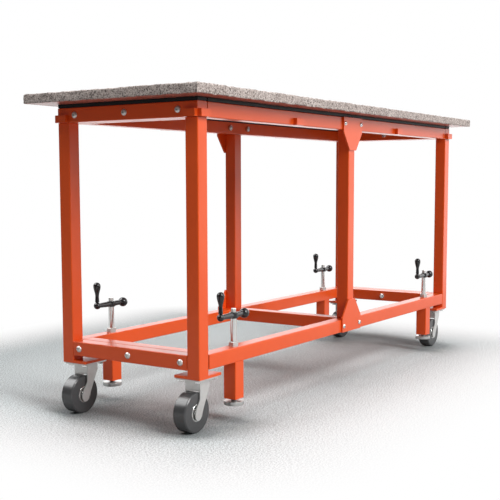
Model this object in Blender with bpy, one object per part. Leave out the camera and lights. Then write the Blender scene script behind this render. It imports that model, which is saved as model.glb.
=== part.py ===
"""Stone fabrication table.

A knock-down frame of square steel tube carries a rough-edged stone slab on rubber strips. Two end
frames and a mid frame are bolted to the upper and lower side rails. The table rolls on four swivel
casters and is levelled on four crank jacks. Sizes are in metres, +Z is up, the floor is z = 0, the
length runs along X and the width along Y. Left is -X, front is -Y.
"""
import math
import random

import bmesh
import bpy
from mathutils import Vector

# Clearances
GAP = 0.0003
RUN_CLEARANCE = 0.0003
HOLE_CLEARANCE = 0.0004

# Frame tube
TUBE = 0.0381
WALL = 0.003
TUBE_CORNER = 0.0015
CORNER_STEPS = 2
SMOOTH_ANGLE = math.radians(40)

# Frame layout
FRAME_LENGTH = 1.560
FRAME_WIDTH = 0.4572
SUPPORT_HEIGHT = 0.8178
LEG_STUB = 0.0139
END_JOINT_GAP = 0.0006
SIDE_JOINT_GAP = 0.0018
END_RAIL_GAP = 0.0009
WELD_OVERLAP = 0.0003

# Stone slab and rubber strips
SLAB_OVERHANG_X = 0.071
SLAB_OVERHANG_Y = 0.0534
SLAB_THICKNESS = 0.025
SLAB_CHIP_PITCH = 0.055
SLAB_CHIP_DEPTH = 0.004
SLAB_LOWER_SHARE = 0.5
SLAB_MIDDLE_SHARE = 0.25
SLAB_DROP_SHARE = 0.5
SLAB_WHOLE_EVERY = 3
SLAB_SEED = 11
SLAB_EDGE_MARGIN = 0.012
RUBBER_THICKNESS = 0.009
RUBBER_INSET = 0.0004
RUBBER_EDGE = 0.0012

# Splice plates at the mid legs
SPLICE_THICKNESS = 0.005
SPLICE_WIDTH = 0.119
SPLICE_TIP_WIDTH = 0.0415
SPLICE_SHOULDER = 0.006
SPLICE_TAPER = 0.0545
SPLICE_BOLT_SPACING = 0.101

# Lug blocks on the upper rails
LUG_WIDTH = 0.0375
LUG_HEIGHT = 0.019
LUG_DEPTH = 0.0115
LUG_EDGE = 0.001
LUG_FROM_MIDDLE = 0.324

# Bolt holes of the frame joints
BOLT_HOLE_DIAMETER = 0.0108
BOLT_SIDES = 6
END_BOLT_INSET = 0.0595

# Casters
CASTER_PAD_X = 0.092
CASTER_PAD_Y = 0.079
CASTER_PAD_THICKNESS = 0.007
CASTER_INSET_X = 0.045
CASTER_INSET_Y = 0.0405
CASTER_PLATE_MARGIN = 0.002
CASTER_PLATE_THICKNESS = 0.004
CASTER_BOLT_EDGE = 0.0125
CASTER_HOLE_DIAMETER = 0.0088
RACE_DIAMETER = 0.036
RACE_HEIGHT = 0.0025
RACE_EDGE = 0.0008
KINGPIN_DIAMETER = 0.012
KINGPIN_HEAD = 0.018
KINGPIN_HEAD_HEIGHT = 0.004
HEAD_LENGTH = 0.040
HEAD_HEIGHT = 0.0251
HEAD_INSET = 0.0002
FORK_SHEET = 0.0035
FORK_TRAIL = 0.0265
FORK_SHOULDER = 0.062
FORK_KNEE = 0.034
FORK_ELBOW_X = 0.031
FORK_ELBOW_RISE = 0.0185
FORK_END_DROP = 0.007
FORK_END_RADIUS = 0.0123
FORK_END_STEPS = 6
FORK_END_FIRST = math.radians(168)
FORK_END_SWEEP = math.radians(182)
WHEEL_DIAMETER = 0.1016
WHEEL_WIDTH = 0.038
WHEEL_CHAMFER = 0.002
WHEEL_TOP_CLEARANCE = 0.002
WHEEL_SIDES = 24
HUB_DIAMETER = 0.045
HUB_PROUD = 0.0007
AXLE_DIAMETER = 0.010

# Jacks
JACK_INSET = 0.1725
JACK_TRAVEL = 0.0508
SLEEVE_LENGTH = 0.0975
SCREW_DIAMETER = 0.0158
SCREW_TIP_DIAMETER = 0.012
SCREW_TOP_DIAMETER = 0.0126
SCREW_END = 0.010
CRANK_NUT_FLATS = 0.0165
TURNED_SIDES = 12
JACK_NUT_FLATS = 0.024
JACK_NUT_HEIGHT = 0.0125
FOOT_DIAMETER = 0.053
FOOT_SIDES = 20
FOOT_THICKNESS = 0.0105
FOOT_SOCKET_DEPTH = 0.007
FOOT_GAP = 0.006
FOOT_CHAMFER = 0.0015
HUB_CLEARANCE = 0.0092

# Crank handles
CRANK_SIDES = 10
CRANK_HUB_DIAMETER = 0.023
CRANK_HUB_HEIGHT = 0.016
CRANK_RADIUS = 0.0565
CRANK_SEAT_RADIUS = 0.0090
CRANK_NECK_RADIUS = 0.0056
CRANK_ROOT_RADIUS = 0.0070
BALL_RADIUS = 0.0124
BALL_OFFSET = 0.0495
POLE_FLAT = 20
SEAT_STEPS = 4
BALL_STEPS = 5
GRIP_LENGTH = 0.056
GRIP_NECK_RADIUS = 0.0047
GRIP_HEAD_RADIUS = 0.0097
GRIP_PIN_DIAMETER = 0.005
GRIP_PIN_LENGTH = 0.016
GRIP_FOOT_FLARE = 1.15
GRIP_NECK_SHARE = 0.4
GRIP_SWELL_STEPS = 4
GRIP_CROWN = ((0.86, 0.4), (0.5, 0.0))

# Heights that follow from the sizes above
HEAD_BOTTOM = WHEEL_DIAMETER + WHEEL_TOP_CLEARANCE
FORK_TOP = HEAD_BOTTOM + HEAD_HEIGHT
RACE_BOTTOM = FORK_TOP + RUN_CLEARANCE
CASTER_PLATE_BOTTOM = RACE_BOTTOM + RACE_HEIGHT
PAD_BOTTOM = CASTER_PLATE_BOTTOM + CASTER_PLATE_THICKNESS + GAP
PAD_TOP = PAD_BOTTOM + CASTER_PAD_THICKNESS
LOWER_RAIL_BOTTOM = PAD_TOP + LEG_STUB
LOWER_RAIL_TOP = LOWER_RAIL_BOTTOM + TUBE
LOWER_RAIL_LEVEL = LOWER_RAIL_BOTTOM + TUBE / 2
UPPER_RAIL_TOP = SUPPORT_HEIGHT - RUBBER_THICKNESS - GAP
UPPER_RAIL_BOTTOM = UPPER_RAIL_TOP - TUBE
UPPER_RAIL_LEVEL = UPPER_RAIL_TOP - TUBE / 2
SLAB_BOTTOM = SUPPORT_HEIGHT + GAP
SLEEVE_BOTTOM = LOWER_RAIL_BOTTOM - SLEEVE_LENGTH
FOOT_TOP = SLEEVE_BOTTOM - FOOT_GAP
FOOT_BOTTOM = FOOT_TOP - FOOT_THICKNESS
JACK_NUT_TOP = LOWER_RAIL_TOP + JACK_NUT_HEIGHT
HUB_BOTTOM = JACK_NUT_TOP + JACK_TRAVEL + HUB_CLEARANCE
ARM_HEIGHT = HUB_BOTTOM + CRANK_HUB_HEIGHT / 2

# Places that follow from the sizes above
LEG_X = (FRAME_LENGTH - TUBE) / 2
RAIL_Y = (FRAME_WIDTH - TUBE) / 2
INNER_WIDTH = FRAME_WIDTH - 2 * TUBE - 2 * GAP
CROSS_TUBE_X = LEG_X - TUBE - END_JOINT_GAP
SIDE_RAIL_END = FRAME_LENGTH / 2 - TUBE - SIDE_JOINT_GAP
PAD_X = (FRAME_LENGTH - CASTER_PAD_X) / 2
PAD_Y = (FRAME_WIDTH - CASTER_PAD_Y) / 2
CASTER_X = FRAME_LENGTH / 2 - CASTER_INSET_X
CASTER_Y = FRAME_WIDTH / 2 - CASTER_INSET_Y
CASTER_PLATE_X = 2 * (CASTER_INSET_X - CASTER_PLATE_MARGIN)
CASTER_PLATE_Y = CASTER_PAD_Y - 2 * CASTER_PLATE_MARGIN
JACK_X = FRAME_LENGTH / 2 - JACK_INSET
END_BOLT_Y = FRAME_WIDTH / 2 - END_BOLT_INSET
AXLE_HEIGHT = WHEEL_DIAMETER / 2
FORK_INNER = WHEEL_WIDTH / 2 + HUB_PROUD + RUN_CLEARANCE
FORK_OUTER = FORK_INNER + FORK_SHEET

ENDS = {"left": -1, "right": 1}
SIDES = {"front": -1, "back": 1}
AXES = "XYZ"


def clear_scene():
    """Remove every object and mesh, so the model starts from nothing."""
    for item in list(bpy.data.objects):
        bpy.data.objects.remove(item, do_unlink=True)
    for mesh in list(bpy.data.meshes):
        bpy.data.meshes.remove(mesh)


def finish(name, colour, roughness, metallic=0.0):
    """Make a Principled material from a linear colour."""
    material = bpy.data.materials.new(name)
    material.use_nodes = True
    shader = material.node_tree.nodes["Principled BSDF"]
    shader.inputs["Base Color"].default_value = (*colour, 1.0)
    shader.inputs["Roughness"].default_value = roughness
    shader.inputs["Metallic"].default_value = metallic
    return material


def place(axis, along, across, up):
    """Turn lengths along an axis and across it into a point; across and up keep the X, Y, Z order."""
    point = [across, up]
    point.insert(AXES.index(axis), along)
    return Vector(point)


def circle(radius, sides):
    """Points of a regular polygon, with flats square to both axes."""
    turn = math.tau / sides
    return [(radius * math.cos((i + 0.5) * turn), radius * math.sin((i + 0.5) * turn)) for i in range(sides)]


def hexagon(across_flats):
    """Points of a hexagon of a given width across its flats."""
    return circle(across_flats / 2 / math.cos(math.pi / 6), 6)


def clear_bore(diameter, sides=TURNED_SIDES):
    """Corner radius of a polygon bore whose flats clear a turning shaft."""
    return (diameter / 2 + RUN_CLEARANCE) / math.cos(math.pi / sides)


def rounded_square(size, radius, steps):
    """Outline of a square with rounded corners."""
    points = []
    for corner in range(4):
        centre_turn = corner * math.pi / 2 + math.pi / 4
        centre = (size / 2 - radius) * math.sqrt(2)
        for i in range(steps + 1):
            angle = corner * math.pi / 2 + i / steps * math.pi / 2
            points.append((centre * math.cos(centre_turn) + radius * math.cos(angle),
                           centre * math.sin(centre_turn) + radius * math.sin(angle)))
    return points


def rectangle(width, height, centre=(0.0, 0.0)):
    """Corners of a rectangle."""
    signs = ((-1, -1), (1, -1), (1, 1), (-1, 1))
    return [(centre[0] + sx * width / 2, centre[1] + sy * height / 2) for sx, sy in signs]


def add_loops(bm, loops):
    """Join matching loops of points into bands of faces and return the rings of vertices."""
    rings = [[bm.verts.new(point) for point in loop] for loop in loops]
    for low, high in zip(rings, rings[1:]):
        count = len(low)
        for i in range(count):
            j = (i + 1) % count
            bm.faces.new((low[i], low[j], high[j], high[i]))
    return rings


def add_prism(bm, outline, axis, start, stop, centre=(0.0, 0.0), edge=0.0):
    """Add a solid of one outline between two places on an axis, with chamfered ends if edge is set."""
    def loop(along, inset):
        """Return the outline at one place, drawn in by an inset."""
        reach_u = max(abs(u) for u, _ in outline)
        reach_v = max(abs(v) for _, v in outline)
        return [place(axis, along, centre[0] + u * (1 - inset / reach_u), centre[1] + v * (1 - inset / reach_v))
                for u, v in outline]
    if edge:
        places = ((start, edge), (start + edge, 0), (stop - edge, 0), (stop, edge))
    else:
        places = ((start, 0), (stop, 0))
    rings = add_loops(bm, [loop(along, inset) for along, inset in places])
    bm.faces.new(rings[0])
    bm.faces.new(rings[-1])


def add_turned(bm, profile, sides, axis="Z", centre=(0.0, 0.0), closed=False):
    """Add a turned solid from (radius, place on the axis) points; a closed profile makes a ring."""
    loops = [[place(axis, along, centre[0] + u, centre[1] + v) for u, v in circle(radius, sides)]
             for radius, along in profile]
    rings = add_loops(bm, loops)
    if closed:
        for i in range(sides):
            j = (i + 1) % sides
            bm.faces.new((rings[-1][i], rings[-1][j], rings[0][j], rings[0][i]))
    else:
        bm.faces.new(rings[0])
        bm.faces.new(rings[-1])


def finished_mesh(name, bm):
    """Point the faces out and turn the shape into a mesh, smooth where it is round."""
    bmesh.ops.recalc_face_normals(bm, faces=bm.faces[:])
    mesh = bpy.data.meshes.new(name)
    bm.to_mesh(mesh)
    bm.free()
    mesh.shade_smooth()
    mesh.set_sharp_from_angle(angle=SMOOTH_ANGLE)
    return mesh


def add_object(name, mesh, material, parent, location=(0, 0, 0)):
    """Add a named piece with its material under a parent."""
    piece = bpy.data.objects.new(name, mesh)
    if not mesh.materials:
        mesh.materials.append(material)
    piece.location = location
    piece.parent = parent
    bpy.context.collection.objects.link(piece)
    return piece


def add_empty(name, parent=None, location=(0, 0, 0)):
    """Add an empty that carries pieces."""
    empty = bpy.data.objects.new(name, None)
    empty.location = location
    empty.parent = parent
    bpy.context.collection.objects.link(empty)
    return empty


def add_cutter(name, bm):
    """Add a hidden cutting shape."""
    cutter = bpy.data.objects.new(name, finished_mesh(name, bm))
    cutter.hide_render = True
    cutter.display_type = 'WIRE'
    bpy.context.collection.objects.link(cutter)
    return cutter


def combine(piece, tool, operation='DIFFERENCE'):
    """Cut or join a piece with another object by a Boolean that stays on it."""
    modifier = piece.modifiers.new(operation.title(), 'BOOLEAN')
    modifier.operation = operation
    modifier.solver = 'EXACT'
    modifier.object = tool


def shaped_mesh(name, base, joined=(), cut=()):
    """Join and cut shapes into one mesh that several pieces can share."""
    body = bpy.data.objects.new(name, finished_mesh(name, base))
    bpy.context.collection.objects.link(body)
    tools = []
    for operation, shapes in (('UNION', joined), ('DIFFERENCE', cut)):
        for shape in shapes:
            tool = add_cutter(f"{name}_tool", shape)
            combine(body, tool, operation)
            tools.append(tool)
    graph = bpy.context.evaluated_depsgraph_get()
    mesh = bpy.data.meshes.new_from_object(body.evaluated_get(graph))
    mesh.name = name
    mesh.shade_smooth()
    mesh.set_sharp_from_angle(angle=SMOOTH_ANGLE)
    for item in [body, *tools]:
        bpy.data.objects.remove(item, do_unlink=True)
    return mesh


def corners(x, y):
    """Yield the name and place of a piece at each corner of the table."""
    for side, sy in SIDES.items():
        for end, sx in ENDS.items():
            yield f"{side}_{end}", Vector((sx * x, sy * y, 0.0))


# Bolt holes

def end_bolt_holes(level):
    """Make the cutting shape for the bolts between the end rails and cross tubes of one level."""
    bm = bmesh.new()
    outline = circle(BOLT_HOLE_DIAMETER / 2, BOLT_SIDES)
    for sign in ENDS.values():
        reach = sorted((sign * (CROSS_TUBE_X - TUBE), sign * (LEG_X + TUBE)))
        for y in (-END_BOLT_Y, 0.0, END_BOLT_Y):
            add_prism(bm, outline, "X", *reach, (y, level))
    return add_cutter("end_bolt_holes", bm)


def splice_holes_shape():
    """Return the holes for the bolts through the splice plates and the side rails."""
    bm = bmesh.new()
    outline = circle(BOLT_HOLE_DIAMETER / 2, BOLT_SIDES)
    for level in (LOWER_RAIL_LEVEL, UPPER_RAIL_LEVEL):
        for sign in SIDES.values():
            reach = sorted((sign * (RAIL_Y - TUBE), sign * (RAIL_Y + TUBE)))
            for x in (-SPLICE_BOLT_SPACING / 2, SPLICE_BOLT_SPACING / 2):
                add_prism(bm, outline, "Y", *reach, (x, level))
    return bm


def caster_holes_shape(centre):
    """Return the four bolt holes of one caster plate and its pad."""
    bm = bmesh.new()
    outline = circle(CASTER_HOLE_DIAMETER / 2, BOLT_SIDES)
    spacing = (CASTER_PLATE_X - 2 * CASTER_BOLT_EDGE, CASTER_PLATE_Y - 2 * CASTER_BOLT_EDGE)
    for spot in rectangle(*spacing, centre):
        add_prism(bm, outline, "Z", RACE_BOTTOM, LOWER_RAIL_BOTTOM, spot)
    return bm


# Frame

def tube_shape(axis, start, stop, centre):
    """Return one square tube with a rounded outside and a square inside, between two places on an axis."""
    bm = bmesh.new()

    def bands(outline):
        """Add the faces of one outline along the tube and return its two rings."""
        return add_loops(bm, [[place(axis, along, centre[0] + u, centre[1] + v) for u, v in outline]
                              for along in (start, stop)])

    outside = bands(rounded_square(TUBE, TUBE_CORNER, CORNER_STEPS))
    inside = bands(circle((TUBE / 2 - WALL) * math.sqrt(2), 4))
    share = CORNER_STEPS + 1
    for outer, inner in zip(outside, inside):
        for k in range(4):
            following = (k + 1) % 4
            bm.faces.new((*outer[k * share:(k + 1) * share], inner[k]))
            bm.faces.new((outer[(k + 1) * share - 1], outer[following * share], inner[following], inner[k]))
    return bm


def prism_shape(*arguments):
    """Return one prism as a shape of its own."""
    bm = bmesh.new()
    add_prism(bm, *arguments)
    return bm


def add_tube(name, axis, start, stop, centre, paint, parent, cutter=None):
    """Add one square tube, with the holes that a cutter makes."""
    tube = add_object(name, finished_mesh(name, tube_shape(axis, start, stop, centre)), paint, parent)
    if cutter:
        combine(tube, cutter)


def add_corner_legs(paint, parent):
    """Add the corner legs, each welded to the pad that its caster bolts to."""
    for name, corner in corners(1, 1):
        pad_centre = (corner.x * PAD_X, corner.y * PAD_Y)
        caster_centre = (corner.x * CASTER_X, corner.y * CASTER_Y)
        leg_centre = (corner.x * LEG_X, corner.y * RAIL_Y)
        pad = prism_shape(rectangle(CASTER_PAD_X, CASTER_PAD_Y), "Z", PAD_BOTTOM, PAD_TOP, pad_centre)
        tube = tube_shape("Z", PAD_TOP - WELD_OVERLAP, UPPER_RAIL_BOTTOM - GAP, leg_centre)
        mesh = shaped_mesh(f"leg_{name}", pad, [tube], [caster_holes_shape(caster_centre)])
        add_object(f"leg_{name}", mesh, paint, parent)


def splice_outline(rail_edge, far_edge):
    """Outline of a splice plate from the rail's far edge, past its near edge, down to the tip on the leg."""
    way = math.copysign(1.0, rail_edge - far_edge)
    shoulder = rail_edge + way * SPLICE_SHOULDER
    tip = shoulder + way * SPLICE_TAPER
    right = [(SPLICE_WIDTH / 2, far_edge), (SPLICE_WIDTH / 2, shoulder), (SPLICE_TIP_WIDTH / 2, tip)]
    return right + [(-x, z) for x, z in reversed(right)]


def add_mid_legs(paint, parent):
    """Add the mid legs, each welded to the two trapezoid plates that splice the rail halves."""
    for side, sign in SIDES.items():
        inner = FRAME_WIDTH / 2 + GAP
        leg_y = inner + WELD_OVERLAP - TUBE / 2
        leg = tube_shape("Z", LOWER_RAIL_TOP + GAP, UPPER_RAIL_BOTTOM - GAP, (0.0, sign * leg_y))
        faces = sorted((sign * inner, sign * (inner + SPLICE_THICKNESS)))
        plates = [prism_shape(outline, "Y", *faces)
                  for outline in (splice_outline(UPPER_RAIL_BOTTOM, UPPER_RAIL_TOP),
                                  splice_outline(LOWER_RAIL_TOP, LOWER_RAIL_BOTTOM))]
        mesh = shaped_mesh(f"mid_leg_{side}", leg, plates, [splice_holes_shape()])
        add_object(f"mid_leg_{side}", mesh, paint, parent)


def lug_shape(axis, sign, face, across):
    """Return one lug block on an outer face of an upper rail, sunk a little into it to join it."""
    reach = sorted((sign * (face - WELD_OVERLAP), sign * (face + LUG_DEPTH)))
    height = UPPER_RAIL_BOTTOM + WELD_OVERLAP + LUG_HEIGHT / 2
    return prism_shape(rectangle(LUG_WIDTH, LUG_HEIGHT), axis, *reach, (across, height), LUG_EDGE)


def add_end_rails(paint, parent):
    """Add the closed upper end rails with their lugs, the lower end rails and the cross tubes inside them."""
    half = FRAME_WIDTH / 2
    span = (-INNER_WIDTH / 2, INNER_WIDTH / 2)
    rail_half = half - TUBE - END_RAIL_GAP
    upper_holes = end_bolt_holes(UPPER_RAIL_LEVEL)
    lower_holes = end_bolt_holes(LOWER_RAIL_LEVEL)
    for end, sign in ENDS.items():
        centre = (sign * LEG_X, UPPER_RAIL_LEVEL)
        bar = prism_shape(rounded_square(TUBE, TUBE_CORNER, CORNER_STEPS), "Y", -half, half, centre)
        lugs = []
        for side in SIDES.values():
            lugs.append(lug_shape("X", sign, FRAME_LENGTH / 2, side * RAIL_Y))
            lugs.append(lug_shape("Y", side, half, sign * LEG_X))
        inside = TUBE - 2 * WALL
        hollow = prism_shape(rectangle(inside, inside), "Y", WALL - half, half - WALL, centre)
        mesh = shaped_mesh(f"upper_end_rail_{end}", bar, lugs, [hollow])
        combine(add_object(f"upper_end_rail_{end}", mesh, paint, parent), upper_holes)
        add_tube(f"lower_end_rail_{end}", "Y", -rail_half, rail_half, (sign * LEG_X, LOWER_RAIL_LEVEL), paint,
                 parent, lower_holes)
        cross_x = sign * CROSS_TUBE_X
        add_tube(f"upper_cross_tube_{end}", "Y", *span, (cross_x, UPPER_RAIL_LEVEL), paint, parent, upper_holes)
        add_tube(f"lower_cross_tube_{end}", "Y", *span, (cross_x, LOWER_RAIL_LEVEL), paint, parent, lower_holes)
    add_tube("mid_cross_rail", "Y", *span, (0.0, LOWER_RAIL_LEVEL), paint, parent)


def add_side_rails(paint, parent):
    """Add the side rail halves: the upper ones with a lug, the lower ones with a jack's sleeve and nut."""
    for name, corner in corners(1, 1):
        span = sorted((corner.x * SIDE_RAIL_END, corner.x * GAP / 2))
        y = corner.y * RAIL_Y
        rail = tube_shape("X", *span, (y, UPPER_RAIL_LEVEL))
        lug = lug_shape("Y", corner.y, FRAME_WIDTH / 2, corner.x * LUG_FROM_MIDDLE)
        mesh = shaped_mesh(f"upper_side_rail_{name}", rail, [lug], [splice_holes_shape()])
        add_object(f"upper_side_rail_{name}", mesh, paint, parent)

        jack = (corner.x * JACK_X, y)
        rail = tube_shape("X", *span, (y, LOWER_RAIL_LEVEL))
        sleeve = tube_shape("Z", SLEEVE_BOTTOM, LOWER_RAIL_BOTTOM + WELD_OVERLAP, jack)
        nut = prism_shape(hexagon(JACK_NUT_FLATS), "Z", LOWER_RAIL_TOP - WELD_OVERLAP, JACK_NUT_TOP, jack)
        bore = prism_shape(circle(clear_bore(SCREW_DIAMETER), TURNED_SIDES), "Z",
                           LOWER_RAIL_BOTTOM - TUBE, HUB_BOTTOM, jack)
        mesh = shaped_mesh(f"lower_side_rail_{name}", rail, [sleeve, nut], [bore, splice_holes_shape()])
        add_object(f"lower_side_rail_{name}", mesh, paint, parent)


def add_rubber(rubber, parent):
    """Add the rubber strips on the upper rails: whole strips on the ends, halves along the sides."""
    level = (UPPER_RAIL_TOP + GAP, SUPPORT_HEIGHT)
    width = TUBE - 2 * RUBBER_INSET
    for end, sign in ENDS.items():
        outline = rectangle(width, FRAME_WIDTH - 2 * RUBBER_INSET)
        strip = prism_shape(outline, "Z", *level, (sign * LEG_X, 0.0), RUBBER_EDGE)
        add_object(f"rubber_strip_{end}", finished_mesh(f"rubber_strip_{end}", strip), rubber, parent)
    length = SIDE_RAIL_END - 2 * RUBBER_INSET
    for name, centre in corners(SIDE_RAIL_END / 2, RAIL_Y):
        strip = prism_shape(rectangle(length, width), "Z", *level, centre.xy, RUBBER_EDGE)
        add_object(f"rubber_strip_{name}", finished_mesh(f"rubber_strip_{name}", strip), rubber, parent)


def add_slab(stone, parent):
    """Add the stone slab, with its edge split rough: rings of points drawn in by seeded chips."""
    chips = random.Random(SLAB_SEED)
    half_x = FRAME_LENGTH / 2 + SLAB_OVERHANG_X
    half_y = FRAME_WIDTH / 2 + SLAB_OVERHANG_Y
    steps_x = max(2, round(2 * half_x / SLAB_CHIP_PITCH))
    steps_y = max(2, round(2 * half_y / SLAB_CHIP_PITCH))
    edge = [(-half_x + 2 * half_x * i / steps_x, -half_y) for i in range(steps_x)]
    edge += [(half_x, -half_y + 2 * half_y * i / steps_y) for i in range(steps_y)]
    edge += [(-x, -y) for x, y in edge]

    def ring(depth, height, height_chip=0.0):
        """Draw the edge in by up to a depth, with some points left at full size."""
        loop = []
        for i, (x, y) in enumerate(edge):
            inset = chips.uniform(0, depth) if i % SLAB_WHOLE_EVERY else 0.0
            drop = chips.uniform(0, height_chip)
            loop.append(Vector((x * (1 - inset / half_x), y * (1 - inset / half_y), height - drop)))
        return loop

    top = SLAB_BOTTOM + SLAB_THICKNESS
    margin_x = 1 - SLAB_EDGE_MARGIN / half_x
    margin_y = 1 - SLAB_EDGE_MARGIN / half_y
    flat = [Vector((x * margin_x, y * margin_y, top)) for x, y in edge]
    bm = bmesh.new()
    rings = add_loops(bm, [ring(SLAB_CHIP_DEPTH * SLAB_LOWER_SHARE, SLAB_BOTTOM),
                           ring(SLAB_CHIP_DEPTH * SLAB_MIDDLE_SHARE, SLAB_BOTTOM + SLAB_THICKNESS / 2),
                           ring(SLAB_CHIP_DEPTH, top, SLAB_CHIP_DEPTH * SLAB_DROP_SHARE), flat])
    bm.faces.new(rings[0])
    bm.faces.new(rings[-1])
    add_object("stone_top", finished_mesh("stone_top", bm), stone, parent)


# Casters

def caster_plate_mesh():
    """Shape a caster's top plate with its ball race and the kingpin that holds the fork."""
    top = CASTER_PLATE_BOTTOM + CASTER_PLATE_THICKNESS
    plate = prism_shape(rectangle(CASTER_PLATE_X, CASTER_PLATE_Y), "Z", CASTER_PLATE_BOTTOM, top)
    race = bmesh.new()
    radius = RACE_DIAMETER / 2
    head_top = FORK_TOP - FORK_SHEET - RUN_CLEARANCE
    add_turned(race, [(radius, CASTER_PLATE_BOTTOM + WELD_OVERLAP), (radius, RACE_BOTTOM + RACE_EDGE),
                      (radius - RACE_EDGE, RACE_BOTTOM), (KINGPIN_DIAMETER / 2, RACE_BOTTOM),
                      (KINGPIN_DIAMETER / 2, head_top), (KINGPIN_HEAD / 2, head_top),
                      (KINGPIN_HEAD / 2, head_top - KINGPIN_HEAD_HEIGHT)], TURNED_SIDES)
    return shaped_mesh("caster_top_plate", plate, [race], [caster_holes_shape((0.0, 0.0))])


def fork_arm_outline():
    """Outline of a fork arm in X and Z: a square head that narrows to a tongue past the axle."""
    half = HEAD_LENGTH / 2
    points = [(-half, FORK_TOP), (-half, AXLE_HEIGHT + FORK_KNEE),
              (-FORK_ELBOW_X, AXLE_HEIGHT + FORK_ELBOW_RISE)]
    for i in range(FORK_END_STEPS + 1):
        angle = FORK_END_FIRST + FORK_END_SWEEP * i / FORK_END_STEPS
        points.append((-FORK_TRAIL + FORK_END_RADIUS * math.cos(angle),
                       AXLE_HEIGHT - FORK_END_DROP + FORK_END_RADIUS * math.sin(angle)))
    return points + [(half, AXLE_HEIGHT + FORK_SHOULDER), (half, FORK_TOP)]


def fork_mesh():
    """Shape a fork: two arms joined by a folded head, open below, and the axle fixed between them."""
    arms = [prism_shape(fork_arm_outline(), "Y", *sorted((sign * FORK_INNER, sign * FORK_OUTER)))
            for sign in SIDES.values()]
    reach = 2 * (FORK_INNER + WELD_OVERLAP)
    head = prism_shape(rectangle(HEAD_LENGTH - 2 * HEAD_INSET, reach), "Z", HEAD_BOTTOM, FORK_TOP - HEAD_INSET)
    hollow = prism_shape(rectangle(HEAD_LENGTH - 2 * FORK_SHEET, 2 * FORK_INNER - 2 * WELD_OVERLAP), "Z",
                         AXLE_HEIGHT, FORK_TOP - FORK_SHEET)
    bore = prism_shape(circle(clear_bore(KINGPIN_DIAMETER), TURNED_SIDES), "Z", HEAD_BOTTOM, RACE_BOTTOM)
    seat = FORK_INNER + FORK_SHEET / 2
    axle = prism_shape(circle(AXLE_DIAMETER / 2, TURNED_SIDES), "Y", -seat, seat, (-FORK_TRAIL, AXLE_HEIGHT))
    return shaped_mesh("caster_fork", head, [*arms, axle], [hollow, bore])


def wheel_mesh():
    """Shape a wheel with a flat tread, chamfered edges and a hub that stands proud between the arms."""
    bm = bmesh.new()
    bore = clear_bore(AXLE_DIAMETER, WHEEL_SIDES)
    radius = WHEEL_DIAMETER / 2 / math.cos(math.pi / WHEEL_SIDES)
    half, hub = WHEEL_WIDTH / 2, HUB_DIAMETER / 2
    side = [(bore, -half - HUB_PROUD), (hub - HUB_PROUD, -half - HUB_PROUD), (hub, -half),
            (radius - WHEEL_CHAMFER, -half), (radius, -half + WHEEL_CHAMFER)]
    profile = side + [(r, -y) for r, y in reversed(side)]
    add_turned(bm, profile, WHEEL_SIDES, "Y", closed=True)
    return finished_mesh("caster_wheel", bm)


def add_casters(steel, tread, parent):
    """Add the four casters, each on an empty at its swivel axis."""
    plate, fork, wheel = caster_plate_mesh(), fork_mesh(), wheel_mesh()
    for name, centre in corners(CASTER_X, CASTER_Y):
        swivel = add_empty(f"swivel_{name}", parent, centre)
        add_object(f"caster_top_plate_{name}", plate, steel, swivel)
        add_object(f"caster_fork_{name}", fork, steel, swivel)
        add_object(f"caster_wheel_{name}", wheel, tread, swivel, (-FORK_TRAIL, 0.0, AXLE_HEIGHT))


# Jacks

def foot_mesh():
    """Shape a foot pad: a turned puck with a socket for the screw's tip."""
    bm = bmesh.new()
    radius = FOOT_DIAMETER / 2
    socket = clear_bore(SCREW_TIP_DIAMETER, FOOT_SIDES)
    add_turned(bm, [(socket, FOOT_TOP - FOOT_SOCKET_DEPTH), (socket, FOOT_TOP),
                    (radius - FOOT_CHAMFER, FOOT_TOP), (radius, FOOT_TOP - FOOT_CHAMFER),
                    (radius, FOOT_BOTTOM + FOOT_CHAMFER), (radius - FOOT_CHAMFER, FOOT_BOTTOM)], FOOT_SIDES)
    return finished_mesh("jack_foot", bm)


def screw_mesh():
    """Shape a jack screw: a tip in the foot, the threaded length and the nutted end that holds the crank."""
    bm = bmesh.new()
    tip, body, top = SCREW_TIP_DIAMETER / 2, SCREW_DIAMETER / 2, SCREW_TOP_DIAMETER / 2
    shoulder = FOOT_TOP + RUN_CLEARANCE
    hub_top = HUB_BOTTOM + CRANK_HUB_HEIGHT + GAP
    add_turned(bm, [(tip, FOOT_TOP - FOOT_SOCKET_DEPTH + RUN_CLEARANCE), (tip, shoulder), (body, shoulder),
                    (body, HUB_BOTTOM - GAP), (top, HUB_BOTTOM - GAP), (top, hub_top + SCREW_END / 2)],
               TURNED_SIDES)
    nut = prism_shape(hexagon(CRANK_NUT_FLATS), "Z", hub_top, hub_top + SCREW_END)
    return shaped_mesh("jack_screw", bm, [nut])


def sphere_profile(radius, centre, first, last, steps):
    """Points of a turned ball between two angles from its lower pole, in degrees."""
    angles = [math.radians(first + (last - first) * i / steps) for i in range(steps + 1)]
    return [(radius * math.sin(a), centre - radius * math.cos(a)) for a in angles]


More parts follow.
